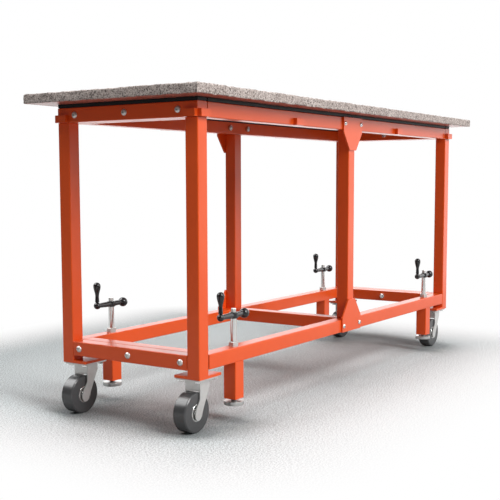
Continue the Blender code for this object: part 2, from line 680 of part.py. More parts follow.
def crank_mesh():
    """Shape a crank: a turned arm from the grip seat through the hub to the ball weight."""
    arm = bmesh.new()
    hub = CRANK_HUB_DIAMETER / 2
    neck_angle = math.degrees(math.asin(CRANK_NECK_RADIUS / CRANK_SEAT_RADIUS))
    ball_angle = math.degrees(math.asin(CRANK_NECK_RADIUS / BALL_RADIUS))
    profile = sphere_profile(CRANK_SEAT_RADIUS, -CRANK_RADIUS, POLE_FLAT, 180 - neck_angle, SEAT_STEPS)
    profile += [(CRANK_ROOT_RADIUS, -hub), (CRANK_ROOT_RADIUS, hub)]
    profile += sphere_profile(BALL_RADIUS, BALL_OFFSET, ball_angle, 180 - POLE_FLAT, BALL_STEPS)
    add_turned(arm, profile, CRANK_SIDES, "X", (0.0, ARM_HEIGHT))
    boss = bmesh.new()
    add_turned(boss, [(hub, HUB_BOTTOM), (hub, HUB_BOTTOM + CRANK_HUB_HEIGHT)], TURNED_SIDES)
    pin = bmesh.new()
    pin_top = ARM_HEIGHT + CRANK_SEAT_RADIUS + GRIP_PIN_LENGTH
    add_turned(pin, [(GRIP_PIN_DIAMETER / 2, ARM_HEIGHT), (GRIP_PIN_DIAMETER / 2, pin_top)], BOLT_SIDES, "Z",
               (-CRANK_RADIUS, 0.0))
    bore = bmesh.new()
    add_prism(bore, circle(SCREW_TOP_DIAMETER / 2 + HOLE_CLEARANCE, TURNED_SIDES), "Z",
              HUB_BOTTOM - CRANK_HUB_HEIGHT, HUB_BOTTOM + 2 * CRANK_HUB_HEIGHT)
    return shaped_mesh("crank_arm", arm, [boss, pin], [bore])


def grip_mesh():
    """Shape a revolving grip: a narrow neck that swells to a rounded head, bored for its pin."""
    bm = bmesh.new()
    bore = clear_bore(GRIP_PIN_DIAMETER, CRANK_SIDES)
    bottom = CRANK_SEAT_RADIUS + GAP
    top = bottom + GRIP_LENGTH
    head = GRIP_HEAD_RADIUS
    profile = [(bore, bottom + GRIP_PIN_LENGTH), (bore, bottom), (GRIP_NECK_RADIUS * GRIP_FOOT_FLARE, bottom)]
    neck_top = bottom + GRIP_LENGTH * GRIP_NECK_SHARE
    swell_top = top - head
    for i in range(GRIP_SWELL_STEPS + 1):
        share = i / GRIP_SWELL_STEPS
        swell = share * share * (3 - 2 * share)
        profile.append((GRIP_NECK_RADIUS + (head - GRIP_NECK_RADIUS) * swell,
                        neck_top + (swell_top - neck_top) * share))
    profile += [(head * width, top - head * drop) for width, drop in GRIP_CROWN]
    add_turned(bm, profile, CRANK_SIDES)
    return finished_mesh("crank_grip", bm)


def add_jacks(steel, black, parent):
    """Add the four jacks, each on an empty at its screw's axis."""
    foot, screw, crank, grip = foot_mesh(), screw_mesh(), crank_mesh(), grip_mesh()
    for name, centre in corners(JACK_X, RAIL_Y):
        axis = add_empty(f"jack_{name}", parent, centre)
        add_object(f"jack_foot_{name}", foot, steel, axis)
        add_object(f"jack_screw_{name}", screw, steel, axis)
        add_object(f"crank_arm_{name}", crank, black, axis)
        add_object(f"crank_grip_{name}", grip, black, axis, (-CRANK_RADIUS, 0.0, ARM_HEIGHT))


def main():
    """Build the whole table."""
    clear_scene()
    paint = finish("orange_powder_coat", (0.78, 0.12, 0.045), 0.35)
    steel = finish("pale_plated_steel", (0.60, 0.60, 0.59), 0.4, 0.6)
    tread = finish("dark_grey_polyurethane", (0.055, 0.055, 0.057), 0.5)
    black = finish("black_enamel", (0.02, 0.02, 0.022), 0.3)
    rubber = finish("black_rubber", (0.02, 0.02, 0.021), 0.8)
    stone = finish("split_granite", (0.52, 0.47, 0.44), 0.8)
    table = add_empty("table")
    add_corner_legs(paint, table)
    add_mid_legs(paint, table)
    add_end_rails(paint, table)
    add_side_rails(paint, table)
    add_rubber(rubber, table)
    add_slab(stone, table)
    add_casters(steel, tread, table)
    add_jacks(steel, black, table)


main()
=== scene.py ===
"""Dressed scene of a stone fabrication table.

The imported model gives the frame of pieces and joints. This script dresses every piece: square tubes
with softened ends, pressed casters, turned jack pieces, bolts, nuts and weld beads, a split granite
slab and rubber strips, each with its own finish, on a pale floor in soft studio light.
"""

import logging
import math
from dataclasses import dataclass, field
from enum import Enum
from typing import Any, Iterator, Optional, Sequence

import bmesh
import bpy
from mathutils import Matrix, Vector, noise


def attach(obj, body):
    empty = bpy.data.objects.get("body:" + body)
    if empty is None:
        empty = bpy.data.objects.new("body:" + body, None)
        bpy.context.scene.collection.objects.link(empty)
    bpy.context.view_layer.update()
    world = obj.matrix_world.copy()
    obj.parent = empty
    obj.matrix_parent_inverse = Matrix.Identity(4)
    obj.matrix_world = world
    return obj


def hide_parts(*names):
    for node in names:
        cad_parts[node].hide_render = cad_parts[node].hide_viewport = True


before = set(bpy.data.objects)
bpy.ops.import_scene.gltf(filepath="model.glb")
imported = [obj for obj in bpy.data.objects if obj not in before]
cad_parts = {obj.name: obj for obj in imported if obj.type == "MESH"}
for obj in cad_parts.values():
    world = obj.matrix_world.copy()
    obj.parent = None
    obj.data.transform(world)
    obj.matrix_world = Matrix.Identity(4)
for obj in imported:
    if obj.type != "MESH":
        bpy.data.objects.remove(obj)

LOG = logging.getLogger("stone_table")

Outline = list[tuple[float, float]]
Mesh = bpy.types.Mesh
Material = bpy.types.Material
Tree = bpy.types.NodeTree
Socket = bpy.types.NodeSocket


class Axis(Enum):
    """The three directions of the table's frame."""

    X = 0
    Y = 1
    Z = 2

    def point(self, along: float, across: float, up: float) -> Vector:
        """Return the point at a place along this axis and two places across it, in X, Y, Z order."""
        others = (across, up)
        return Vector((*others[:self.value], along, *others[self.value:]))


class Slot(Enum):
    """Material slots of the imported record."""

    PAINT = "orange_paint"
    GRANITE = "granite"
    RUBBER = "rubber_strip"
    TREAD = "wheel_tread"
    CASTER = "caster_steel"
    FOOT = "foot_steel"
    ZINC = "zinc_steel"
    ENAMEL = "black_enamel"
    GRIP = "black_grip"


@dataclass(frozen=True)
class Corner:
    """One corner of the table: its name and the signs of its X and Y."""

    side: str
    end: str
    sx: int
    sy: int

    @property
    def name(self) -> str:
        """Return the corner's name as the nodes use it."""
        return f"{self.side}_{self.end}"


ENDS = {"left": -1, "right": 1}
SIDES = {"front": -1, "back": 1}
CORNERS = [Corner(side, end, sx, sy) for side, sy in SIDES.items() for end, sx in ENDS.items()]


@dataclass(frozen=True)
class TableSizes:
    """Sizes that several sub-assemblies share, in metres."""

    tube: float = 0.0381
    tube_wall: float = 0.003
    tube_corner: float = 0.0026
    tube_end: float = 0.0008
    length: float = 1.560
    width: float = 0.4572
    clearance: float = 0.0003
    sunk: float = 0.0003
    end_joint: float = 0.0006
    side_joint: float = 0.0028
    end_rail_joint: float = 0.0009
    pad_bottom: float = 0.1358
    pad_top: float = 0.1428
    pad_x: float = 0.092
    pad_y: float = 0.079
    caster_inset_x: float = 0.045
    caster_inset_y: float = 0.0405
    lower_rail: float = 0.1567
    upper_rail: float = 0.7704
    support: float = 0.8178
    jack_inset: float = 0.1725
    hub_bottom: float = 0.2673
    hub_height: float = 0.016

    @property
    def leg_x(self) -> float:
        """Return the X of a corner leg's axis."""
        return (self.length - self.tube) / 2

    @property
    def rail_y(self) -> float:
        """Return the Y of a side rail's axis."""
        return (self.width - self.tube) / 2

    @property
    def cross_x(self) -> float:
        """Return the X of an inner cross tube's axis."""
        return self.leg_x - self.tube - self.end_joint

    @property
    def rail_end(self) -> float:
        """Return the X where a side rail stops at the end frame."""
        return self.length / 2 - self.tube - self.side_joint

    @property
    def lower_rail_top(self) -> float:
        """Return the height of the lower rails' top faces."""
        return self.lower_rail + self.tube

    @property
    def caster_x(self) -> float:
        """Return the X of a caster's swivel axis."""
        return self.length / 2 - self.caster_inset_x

    @property
    def caster_y(self) -> float:
        """Return the Y of a caster's swivel axis."""
        return self.width / 2 - self.caster_inset_y

    @property
    def jack_x(self) -> float:
        """Return the X of a jack's screw."""
        return self.length / 2 - self.jack_inset

    def span(self, joint: float) -> tuple[float, float]:
        """Return the Y reach of a tube that stops a joint's width short of the tubes on both sides."""
        half = self.width / 2 - self.tube - joint
        return -half, half


SIZES = TableSizes()


# Shapes

def rounded_rectangle(width: float, height: float, radius: float, steps: int) -> Outline:
    """Outline of a rectangle with rounded corners.

    Args:
        width: full size along the first axis.
        height: full size along the second axis.
        radius: corner radius.
        steps: facets in each corner.

    Returns:
        The outline's points in order.
    """
    points = []
    for quarter in range(4):
        turn = quarter * math.pi / 2
        sign_u = 1 if quarter in (0, 3) else -1
        sign_v = 1 if quarter in (0, 1) else -1
        for i in range(steps + 1):
            angle = turn + i / steps * math.pi / 2
            points.append((sign_u * (width / 2 - radius) + radius * math.cos(angle),
                           sign_v * (height / 2 - radius) + radius * math.sin(angle)))
    return points


def polygon(radius: float, sides: int, turn: float = 0.0) -> Outline:
    """Return the outline of a regular polygon of a corner radius, its first corner at a turn in radians."""
    step = math.tau / sides
    return [(radius * math.cos(turn + i * step), radius * math.sin(turn + i * step)) for i in range(sides)]


def hexagon(across_flats: float) -> Outline:
    """Return the outline of a hexagon of a width across its flats."""
    return polygon(across_flats / math.sqrt(3), 6, math.pi / 6)


def scaled(outline: Outline, share: float) -> Outline:
    """Return an outline drawn in to a share of its size."""
    return [(u * share, v * share) for u, v in outline]


def arc(radius: float, centre: float, first: float, last: float, steps: int) -> Outline:
    """Return the profile of a turned ball between two angles in degrees from its lower pole."""
    angles = [math.radians(first + (last - first) * i / steps) for i in range(steps + 1)]
    return [(radius * math.sin(a), centre - radius * math.cos(a)) for a in angles]


def curve(start: Vector, pull: Vector, draw: Vector, stop: Vector, steps: int) -> Outline:
    """Points of a smooth bend between two places.

    Args:
        start: first place.
        pull: place that the bend leaves the first towards.
        draw: place that the bend reaches the last from.
        stop: last place.
        steps: facets along the bend.

    Returns:
        The points in order, with both ends.
    """
    points = []
    for i in range(steps + 1):
        t = i / steps
        s = 1 - t
        point = start * s ** 3 + pull * 3 * s * s * t + draw * 3 * s * t * t + stop * t ** 3
        points.append((point.x, point.y))
    return points


class Solid:
    """A closed shape in the making, in the table's own frame."""

    def __init__(self) -> None:
        """Start with no faces."""
        self.bm = bmesh.new()

    def loft(self, loops: Sequence[Sequence[Vector]], ring: bool = False) -> "Solid":
        """Join matching loops into bands.

        Args:
            loops: loops of as many points each.
            ring: close the last loop on the first, instead of capping both.

        Returns:
            This solid.
        """
        rows = [[self.bm.verts.new(point) for point in loop] for loop in loops]
        pairs = list(zip(rows, rows[1:]))
        if ring:
            pairs.append((rows[-1], rows[0]))
        else:
            self.bm.faces.new(rows[0])
            self.bm.faces.new(rows[-1])
        for low, high in pairs:
            count = len(low)
            for i in range(count):
                j = (i + 1) % count
                self.bm.faces.new((low[i], low[j], high[j], high[i]))
        bmesh.ops.recalc_face_normals(self.bm, faces=self.bm.faces[:])
        return self

    def soften(self, width: float, segments: int = 2, limit: float = 40.0) -> "Solid":
        """Round the sharp edges.

        Args:
            width: bevel width.
            segments: facets across the bevel.
            limit: angle in degrees past which an edge counts as sharp.

        Returns:
            This solid.
        """
        edges = [edge for edge in self.bm.edges if edge.calc_face_angle(0.0) > math.radians(limit)]
        bmesh.ops.bevel(self.bm, geom=edges, offset=width, segments=segments, profile=0.5, affect='EDGES',
                        clamp_overlap=True)
        return self


def stack(rows: Sequence[tuple[Outline, float]], axis: Axis, centre: Sequence[float] = (0.0, 0.0),
          ring: bool = False) -> Solid:
    """Make a solid of matching outlines at places along an axis, capped, or closed to a ring for a bore."""
    loops = [[axis.point(along, centre[0] + u, centre[1] + v) for u, v in outline] for outline, along in rows]
    return Solid().loft(loops, ring)


def prism(outline: Outline, axis: Axis, start: float, stop: float,
          centre: Sequence[float] = (0.0, 0.0)) -> Solid:
    """Make a solid of one outline between two places on an axis."""
    return stack([(outline, start), (outline, stop)], axis, centre)


def lathe(profile: Outline, axis: Axis = Axis.Z, centre: Sequence[float] = (0.0, 0.0), sides: int = 32,
          ring: bool = False) -> Solid:
    """Turn a profile of radius and place about an axis, closed to a ring where it has a bore."""
    return stack([(polygon(radius, sides), along) for radius, along in profile], axis, centre, ring)


def square_tube(axis: Axis, start: float, stop: float, centre: Sequence[float],
                capped: bool = False) -> Solid:
    """Make a length of the frame's square tube, with its sawn ends rounded over.

    Args:
        axis: direction of the tube.
        start: first end.
        stop: last end.
        centre: where the tube's axis lies across its direction.
        capped: close both ends with a welded plate.

    Returns:
        The tube.
    """
    corner_steps, end_steps = 4, 2
    edge = SIZES.tube_end

    def section(inset: float) -> Outline:
        """Return the tube's outline drawn in by an inset."""
        size = SIZES.tube - 2 * inset
        return rounded_rectangle(size, size, SIZES.tube_corner, corner_steps)

    turns = [math.pi / 2 * i / end_steps for i in range(end_steps + 1)]
    ends = [(edge * (1 - math.sin(turn)), edge * (1 - math.cos(turn))) for turn in turns]
    rows = [(section(inset), start + along) for inset, along in ends]
    rows += [(section(inset), stop - along) for inset, along in reversed(ends)]
    if not capped:
        bore = section(SIZES.tube_wall)
        rows += [(bore, stop), (bore, start)]
    return stack(rows, axis, centre, ring=not capped)


def block(low: Sequence[float], high: Sequence[float], edge: float, segments: int = 2) -> Solid:
    """Make a block between its lowest and highest corners, with rounded edges."""
    outline = [(low[0], low[1]), (high[0], low[1]), (high[0], high[1]), (low[0], high[1])]
    return prism(outline, Axis.Z, low[2], high[2]).soften(edge, segments)


def turned_edge(radius: float, place: float, rise: float) -> Outline:
    """Return the profile of a rounded edge from a turned piece's face out to its radius."""
    width, middle = abs(rise), 0.3
    return [(radius - width, place), (radius - middle * width, place + middle * rise), (radius, place + rise)]


def plain_mesh(holder: bpy.types.Object) -> Mesh:
    """Turn an object and its modifiers into a plain mesh, and remove the object.

    Args:
        holder: the object, already in the scene.

    Returns:
        Its evaluated mesh.
    """
    graph = bpy.context.evaluated_depsgraph_get()
    mesh = bpy.data.meshes.new_from_object(holder.evaluated_get(graph))
    old = holder.data
    bpy.data.objects.remove(holder)
    bpy.data.meshes.remove(old)
    return mesh


# Angles in degrees past which the edges of a kind of piece stay sharp.
SHARP_TYRE, SHARP_MACHINED, SHARP_DOMED = 24.0, 25.0, 35.0
SHARP_TUBE, SHARP_TURNED, SHARP_STONE = 42.0, 50.0, 70.0


def fused(name: str, solids: Sequence[Solid], sharp: float = SHARP_TUBE) -> Mesh:
    """Gather solids into one mesh that is smooth where it is round and flat on its flats.

    Args:
        name: the mesh's name.
        solids: the shapes, which are used up.
        sharp: angle in degrees past which an edge stays sharp.

    Returns:
        The mesh.
    """
    whole = bmesh.new()
    for solid in solids:
        part = bpy.data.meshes.new("part")
        solid.bm.to_mesh(part)
        solid.bm.free()
        whole.from_mesh(part)
        bpy.data.meshes.remove(part)
    mesh = bpy.data.meshes.new(name)
    whole.to_mesh(mesh)
    whole.free()
    mesh.shade_smooth()
    mesh.set_sharp_from_angle(angle=math.radians(sharp))
    holder = bpy.data.objects.new(name, mesh)
    bpy.context.collection.objects.link(holder)
    weighted = holder.modifiers.new("flats", 'WEIGHTED_NORMAL')
    weighted.keep_sharp = True
    mesh = plain_mesh(holder)
    mesh.name = name
    return mesh


def add_piece(name: str, mesh: Mesh, finish: "Finish", body: str, nodes: Sequence[str] = ()) -> None:
    """Add a dressed piece to the table.

    Args:
        name: the piece's name.
        mesh: its mesh, placed in the table's frame.
        finish: its finish.
        body: the body that it moves with.
        nodes: the nodes that it stands for.
    """
    piece = bpy.data.objects.new(name, mesh)
    mesh.materials.clear()
    mesh.materials.append(finish.material())
    bpy.context.collection.objects.link(piece)
    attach(piece, body)
    if nodes:
        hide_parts(*nodes)
    LOG.info("%s: %d faces on %s", name, len(mesh.polygons), body)


def stand_in(node: str, suffix: str, solids: Sequence[Solid], finish: "Finish", body: str,
             sharp: float = SHARP_TUBE) -> None:
    """Add a dressed piece in place of a node and named after it, of solids that are used up."""
    add_piece(f"{node}_{suffix}", fused(node, solids, sharp), finish, body, [node])


# Finishes

def linear(code: str) -> tuple[float, float, float, float]:
    """Turn an sRGB hex colour into a linear one.

    Args:
        code: colour such as "#E0603C".

    Returns:
        Linear red, green, blue and an alpha of one.
    """
    values = [int(code[i:i + 2], 16) / 255 for i in (1, 3, 5)]
    red, green, blue = [v / 12.92 if v <= 0.04045 else ((v + 0.055) / 1.055) ** 2.4 for v in values]
    return red, green, blue, 1.0


WHITE = "#FFFFFF"


def add_node(tree: Tree, kind: str, settings: Optional[dict[str, Any]] = None,
             inputs: Optional[dict[Any, Any]] = None,
             stops: Sequence[tuple[float, str]] = ()) -> bpy.types.Node:
    """Add a node with its settings, values, links and colour stops.

    Args:
        tree: the tree that it goes in.
        kind: the node's type name.
        settings: attributes to set.
        inputs: socket name or index to a value, or to a socket that is linked to it.
        stops: position and hex colour of each stop of a colour ramp.

    Returns:
        The node.
    """
    node = tree.nodes.new(kind)
    for key, value in (settings or {}).items():
        setattr(node, key, value)
    for key, value in (inputs or {}).items():
        if isinstance(value, Socket):
            tree.links.new(value, node.inputs[key])
        else:
            node.inputs[key].default_value = value
    for i, (position, code) in enumerate(stops):
        ramp = node.color_ramp.elements
        stop = ramp[i] if i < len(ramp) else ramp.new(position)
        stop.position = position
        stop.color = linear(code)
    return node


class Graph:
    """A shader tree with short ways to its usual nodes, each returning the socket that the node gives."""

    def __init__(self, tree: Tree) -> None:
        """Start on a tree."""
        self.tree = tree

    def texture(self, kind: str, place: Socket, millimetres: float, result: str = "Fac",
                **inputs: float) -> Socket:
        """Return a socket of a texture with a pattern of a size in millimetres, on coordinates in metres."""
        values = {"Vector": place, "Scale": 1000.0 / millimetres, **inputs}
        return add_node(self.tree, f"ShaderNodeTex{kind}", {}, values).outputs[result]

    def channel(self, colour: Socket, name: str) -> Socket:
        """Return one channel of a colour."""
        return add_node(self.tree, "ShaderNodeSeparateColor", {}, {"Color": colour}).outputs[name]

    def ramp(self, value: Socket, *stops: tuple[float, str]) -> Socket:
        """Return the colour of a value on a ramp of positions and hex colours."""
        return add_node(self.tree, "ShaderNodeValToRGB", {}, {"Fac": value}, stops).outputs["Color"]

    def mix(self, share: Any, first: Any, second: Any, blend: str = 'MIX') -> Socket:
        """Return a blend of two colours, by a share of the second."""
        settings = {"data_type": 'RGBA', "blend_type": blend}
        return add_node(self.tree, "ShaderNodeMix", settings, {0: share, 6: first, 7: second}).outputs[2]

    def fit(self, value: Socket, source: Sequence[float] = (0.0, 1.0), target: Sequence[Any] = (0.0, 1.0),
            smooth: bool = False) -> Socket:
        """Map a value from one range to another.

        Args:
            value: the value.
            source: the range that it comes from.
            target: the range that it goes to, in values or sockets.
            smooth: ease in and out of the range.

        Returns:
            The mapped value.
        """
        settings = {"interpolation_type": 'SMOOTHSTEP' if smooth else 'LINEAR'}
        values = {"Value": value, "From Min": source[0], "From Max": source[1], "To Min": target[0],
                  "To Max": target[1]}
        return add_node(self.tree, "ShaderNodeMapRange", settings, values).outputs["Result"]

    def math(self, operation: str, *values: Any) -> Socket:
        """Return the result of a sum on numbers."""
        node = add_node(self.tree, "ShaderNodeMath", {"operation": operation}, dict(enumerate(values)))
        return node.outputs["Value"]

    def vector(self, operation: str, *values: Any, result: str = "Vector") -> Socket:
        """Return the result of a sum on vectors, from the socket that is wanted."""
        node = add_node(self.tree, "ShaderNodeVectorMath", {"operation": operation}, dict(enumerate(values)))
        return node.outputs[result]

    def bump(self, height: Socket, strength: Any, distance: float) -> Socket:
        """Return a surface's normal with a relief of a strength and a depth in metres."""
        values = {"Height": height, "Strength": strength, "Distance": distance}
        return add_node(self.tree, "ShaderNodeBump", {}, values).outputs["Normal"]


@dataclass(frozen=True)
class Finish:
    """A surface finish: name, slot, main colour, roughness, how metallic it is and how much it mirrors."""

    name: str
    slot: Slot
    colour: str
    roughness: float
    metallic: float = 0.0
    mirror: float = 0.5

    def material(self) -> Material:
        """Give the finish's material, which is made the first time that it is asked for.

        Returns:
            The material.
        """
        made = bpy.data.materials.get(self.name)
        if made:
            return made
        made = bpy.data.materials.new(self.name)
        made.use_nodes = True
        tree = made.node_tree
        shader = tree.nodes["Principled BSDF"].inputs
        values = {"Base Color": linear(self.colour), "Roughness": self.roughness, "Metallic": self.metallic,
                  "Specular IOR Level": self.mirror}
        for socket, value in values.items():
            shader[socket].default_value = value
        place = add_node(tree, "ShaderNodeTexCoord").outputs["Object"]
        for socket, source in self.detail(Graph(tree), place).items():
            tree.links.new(source, shader[socket])
        return made

    def detail(self, graph: Graph, place: Socket) -> dict[str, Socket]:
        """Make the finish's own texture.

        Args:
            graph: the material's tree.
            place: the surface's coordinates.

        Returns:
            What feeds each of the shader's sockets.
        """
        raise NotImplementedError(self.name)


@dataclass(frozen=True)
class PowderCoat(Finish):
    """Powder-coated steel: an even glossy skin with a faint orange peel and slight drifts of tone."""

    shade: str = "#DD501A"
    drift_mm: float = 90.0
    peel_mm: float = 2.2
    duller: float = 0.05
    glossier: float = 0.04
    peel_strength: float = 0.035
    peel_depth: float = 0.0004

    def detail(self, graph: Graph, place: Socket) -> dict[str, Socket]:
        """Make the drift of tone, the uneven gloss and the orange peel.

        Args:
            graph: the material's tree.
            place: the surface's coordinates.

        Returns:
            What feeds each of the shader's sockets.
        """
        drift = graph.texture("Noise", place, self.drift_mm, Detail=3.0)
        peel = graph.texture("Noise", place, self.peel_mm)
        gloss = (self.roughness - self.glossier, self.roughness + self.duller)
        return {"Base Color": graph.mix(drift, linear(self.colour), linear(self.shade)),
                "Roughness": graph.fit(drift, target=gloss),
                "Normal": graph.bump(peel, self.peel_strength, self.peel_depth)}


@dataclass(frozen=True)
class SplitGranite(Finish):
    """Feldspar and quartz grains with dark mica: rough where split, flat where sawn, with painted orange
    bounce light from the rails on the underside.
    """

    dark: str = "#7E726D"
    pale: str = "#DAD0CA"
    mica: str = "#4F4642"
    grain_mm: float = 2.6
    mica_mm: float = 3.0
    cloud_mm: float = 45.0
    relief_mm: float = 8.0
    underside_roughness: float = 0.38
    # Painted orange bounce light from the rails, multiplied into the underside's colour.
    painted_rail_bounce: str = "#FF9A86"
    sawn: tuple[float, float] = (0.9, 0.98)
    main_grain: float = 0.35
    mica_chance: tuple[float, float] = (0.85, 0.92)
    veil: tuple[tuple[float, str], ...] = ((0.3, "#C6BDB8"), (0.7, "#FFFDFC"))
    veil_share: float = 0.45
    relief: float = 0.85
    relief_depth: float = 0.003

    def detail(self, graph: Graph, place: Socket) -> dict[str, Socket]:
        """Make the grains, the mica, the drift of tone, the underside's painted orange bounce light and the
        broken relief.

        Args:
            graph: the material's tree.
            place: the surface's coordinates.

        Returns:
            What feeds each of the shader's sockets.
        """
        grain = graph.channel(graph.texture("Voronoi", place, self.grain_mm, "Color"), "Red")
        grains = graph.ramp(grain, (0.0, self.dark), (self.main_grain, self.colour), (1.0, self.pale))
        cloud = graph.texture("Noise", place, self.cloud_mm, Detail=4.0)
        clouded = graph.mix(self.veil_share, grains, graph.ramp(cloud, *self.veil), 'MULTIPLY')
        chance = graph.channel(graph.texture("Voronoi", place, self.mica_mm, "Color"), "Green")
        stone = graph.mix(graph.fit(chance, self.mica_chance), clouded, linear(self.mica))
        normal = add_node(graph.tree, "ShaderNodeNewGeometry").outputs["Normal"]
        upward = add_node(graph.tree, "ShaderNodeSeparateXYZ", {}, {0: normal}).outputs["Z"]
        below = graph.fit(upward, [-share for share in self.sawn])
        broken = graph.fit(graph.math('ABSOLUTE', upward), self.sawn, (self.relief, 0.0))
        breaks = graph.texture("Noise", place, self.relief_mm, Detail=6.0, Roughness=0.65)
        # The underside's colour takes painted orange bounce light from the rails.
        return {"Base Color": graph.mix(below, stone, linear(self.painted_rail_bounce), 'MULTIPLY'),
                "Roughness": graph.fit(below, target=(self.roughness, self.underside_roughness)),
                "Normal": graph.bump(breaks, broken, self.relief_depth)}


@dataclass(frozen=True)
class Mottled(Finish):
    """A moulded, plated or turned surface: fine mottle in tone and gloss, with a slight relief.

    The stretch draws the mottle out along the axes, as turning marks or a rolled grain do.
    """

    accent: str = "#808080"
    mottle_mm: float = 4.0
    spread: float = 0.06
    relief: float = 0.04
    stretch: tuple[float, float, float] = (1.0, 1.0, 1.0)
    relief_depth: float = 0.0005

    def detail(self, graph: Graph, place: Socket) -> dict[str, Socket]:
        """Make the mottle of the colour, the roughness and the relief.

        Args:
            graph: the material's tree.
            place: the surface's coordinates.

        Returns:
            What feeds each of the shader's sockets.
        """
        drawn = add_node(graph.tree, "ShaderNodeMapping", {}, {"Vector": place, "Scale": self.stretch})
        mottle = graph.texture("Noise", drawn.outputs["Vector"], self.mottle_mm, Detail=4.0)
        gloss = (self.roughness - self.spread, self.roughness + self.spread)
        return {"Base Color": graph.mix(mottle, linear(self.colour), linear(self.accent)),
                "Roughness": graph.fit(mottle, target=gloss),
                "Normal": graph.bump(mottle, self.relief, self.relief_depth)}


# Powder coat on steel tube: an even skin, glossy enough to mirror the pale surround at a low angle.
ORANGE_COAT = PowderCoat("powder_coat_orange", Slot.PAINT, "#E6571D", roughness=0.3, mirror=0.3)
# Granite split to size: pink-grey grains with dark flecks, and painted orange bounce light on the underside.
GRANITE = SplitGranite("split_granite", Slot.GRANITE, "#B2A59F", roughness=0.85, mirror=0.8)
# Extruded rubber strip: dull and nearly black, with a slight bloom.
STRIP_RUBBER = Mottled("extruded_rubber", Slot.RUBBER, "#1F2122", roughness=0.55, mirror=0.15,
                       accent="#212424", mottle_mm=6.0, spread=0.08, relief=0.08)
# Moulded polyurethane wheel: dark grey and even, with a polish from the mould.
TREAD = Mottled("moulded_polyurethane", Slot.TREAD, "#404041", roughness=0.26, accent="#454546",
                mottle_mm=9.0, spread=0.02, relief=0.004)
# Pressed caster steel under dull zinc: pale grey, satin and slightly cloudy.
PRESSED_ZINC = Mottled("pressed_zinc_steel", Slot.CASTER, "#CCCBC9", roughness=0.36, metallic=0.6,
                       accent="#B6B5B3", mottle_mm=12.0, spread=0.08, relief=0.03)
# Bright zinc on bolts, nuts and screws: pale with a soft mirror.
BRIGHT_ZINC = Mottled("bright_zinc_steel", Slot.ZINC, "#DADAD8", roughness=0.15, metallic=0.9,
                      accent="#C6C6C4", mottle_mm=3.0, spread=0.05, relief=0.02)
# Dull zinc on the end rails' button-head bolts and on the jacks' nuts: pale grey and satin.
DULL_ZINC = Mottled("dull_zinc_steel", Slot.ZINC, "#CFCECB", roughness=0.4, metallic=0.6,
                    accent="#BDBCB9", mottle_mm=3.0, spread=0.06, relief=0.03)
# Turned steel foot pad: fine rings left by the tool, stretched round the pad.
TURNED_STEEL = Mottled("turned_steel", Slot.FOOT, "#C4C4C2", roughness=0.3, metallic=0.9, accent="#A9A9A7",
                       mottle_mm=3.0, spread=0.08, relief=0.05, stretch=(0.25, 0.25, 3.0))
# Black enamel on the cast crank: dark with a satin polish.
ENAMEL = Mottled("enamel_on_cast_iron", Slot.ENAMEL, "#161618", roughness=0.17, accent="#1C1C1E",
                 mottle_mm=5.0, spread=0.04, relief=0.02)
# Moulded phenolic grip: black with a soft polish.
PHENOLIC = Mottled("black_phenolic", Slot.GRIP, "#131315", roughness=0.17, accent="#19191B",
                   mottle_mm=6.0, spread=0.04, relief=0.02)


# Geometry Nodes trees

class Recipe:
    """A Geometry Nodes tree with named inputs, ending in realised copies with a finish."""

    def __init__(self, name: str, inputs: dict[str, str]) -> None:
        """Start the tree.

        Args:
            name: the tree's name.
            inputs: input names and their socket types, besides the geometry and the finish.
        """
        self.tree = bpy.data.node_groups.new(name, "GeometryNodeTree")
        self.keys: dict[str, str] = {}
        sockets = {"Geometry": "NodeSocketGeometry", **inputs, "Finish": "NodeSocketMaterial"}
        for label, kind in sockets.items():
            socket = self.tree.interface.new_socket(label, in_out='INPUT', socket_type=kind)
            self.keys[label] = socket.identifier
        self.tree.interface.new_socket("Geometry", in_out='OUTPUT', socket_type="NodeSocketGeometry")
        self.source = add_node(self.tree, "NodeGroupInput").outputs

    def close(self, copies: Socket) -> None:
        """Realise the copies and give them the finish.

        Args:
            copies: the instances that the tree has made.
        """
        real = add_node(self.tree, "GeometryNodeRealizeInstances", {}, {"Geometry": copies})
        shaded = add_node(self.tree, "GeometryNodeSetMaterial", {},
                          {"Geometry": real.outputs["Geometry"], "Material": self.source["Finish"]})
        add_node(self.tree, "NodeGroupOutput", {}, {"Geometry": shaded.outputs["Geometry"]})

    def grow(self, name: str, mesh: Mesh, values: dict[str, Any]) -> Mesh:
        """Run the tree on a mesh.

        Args:
            name: the resulting mesh's name.
            mesh: points or edges that the tree starts from, which are used up.
            values: a value for each named input.

        Returns:
            A plain mesh.
        """
        holder = bpy.data.objects.new(name, mesh)
        bpy.context.collection.objects.link(holder)
        modifier = holder.modifiers.new(name, 'NODES')
        modifier.node_group = self.tree
        for label, value in values.items():
            modifier[self.keys[label]] = value
        made = plain_mesh(holder)
        made.name = name
        return made


def fastener_recipe() -> Recipe:
    """Make the tree that sets a copy of a fastener at each point, turned the way the point faces.

    Returns:
        The tree with its inputs.
    """
    recipe = Recipe("set_fasteners", {"Fastener": "NodeSocketObject"})
    facing = add_node(recipe.tree, "GeometryNodeInputNamedAttribute", {"data_type": 'FLOAT_VECTOR'},
                      {"Name": "facing"})
    turn = add_node(recipe.tree, "FunctionNodeAlignRotationToVector", {"axis": 'Z'},
                    {"Vector": facing.outputs["Attribute"]})
    shape = add_node(recipe.tree, "GeometryNodeObjectInfo", {}, {"Object": recipe.source["Fastener"]})
    copies = add_node(recipe.tree, "GeometryNodeInstanceOnPoints", {},
                      {"Points": recipe.source["Geometry"], "Instance": shape.outputs["Geometry"],
                       "Rotation": turn.outputs["Rotation"]})
    recipe.close(copies.outputs["Instances"])
    return recipe


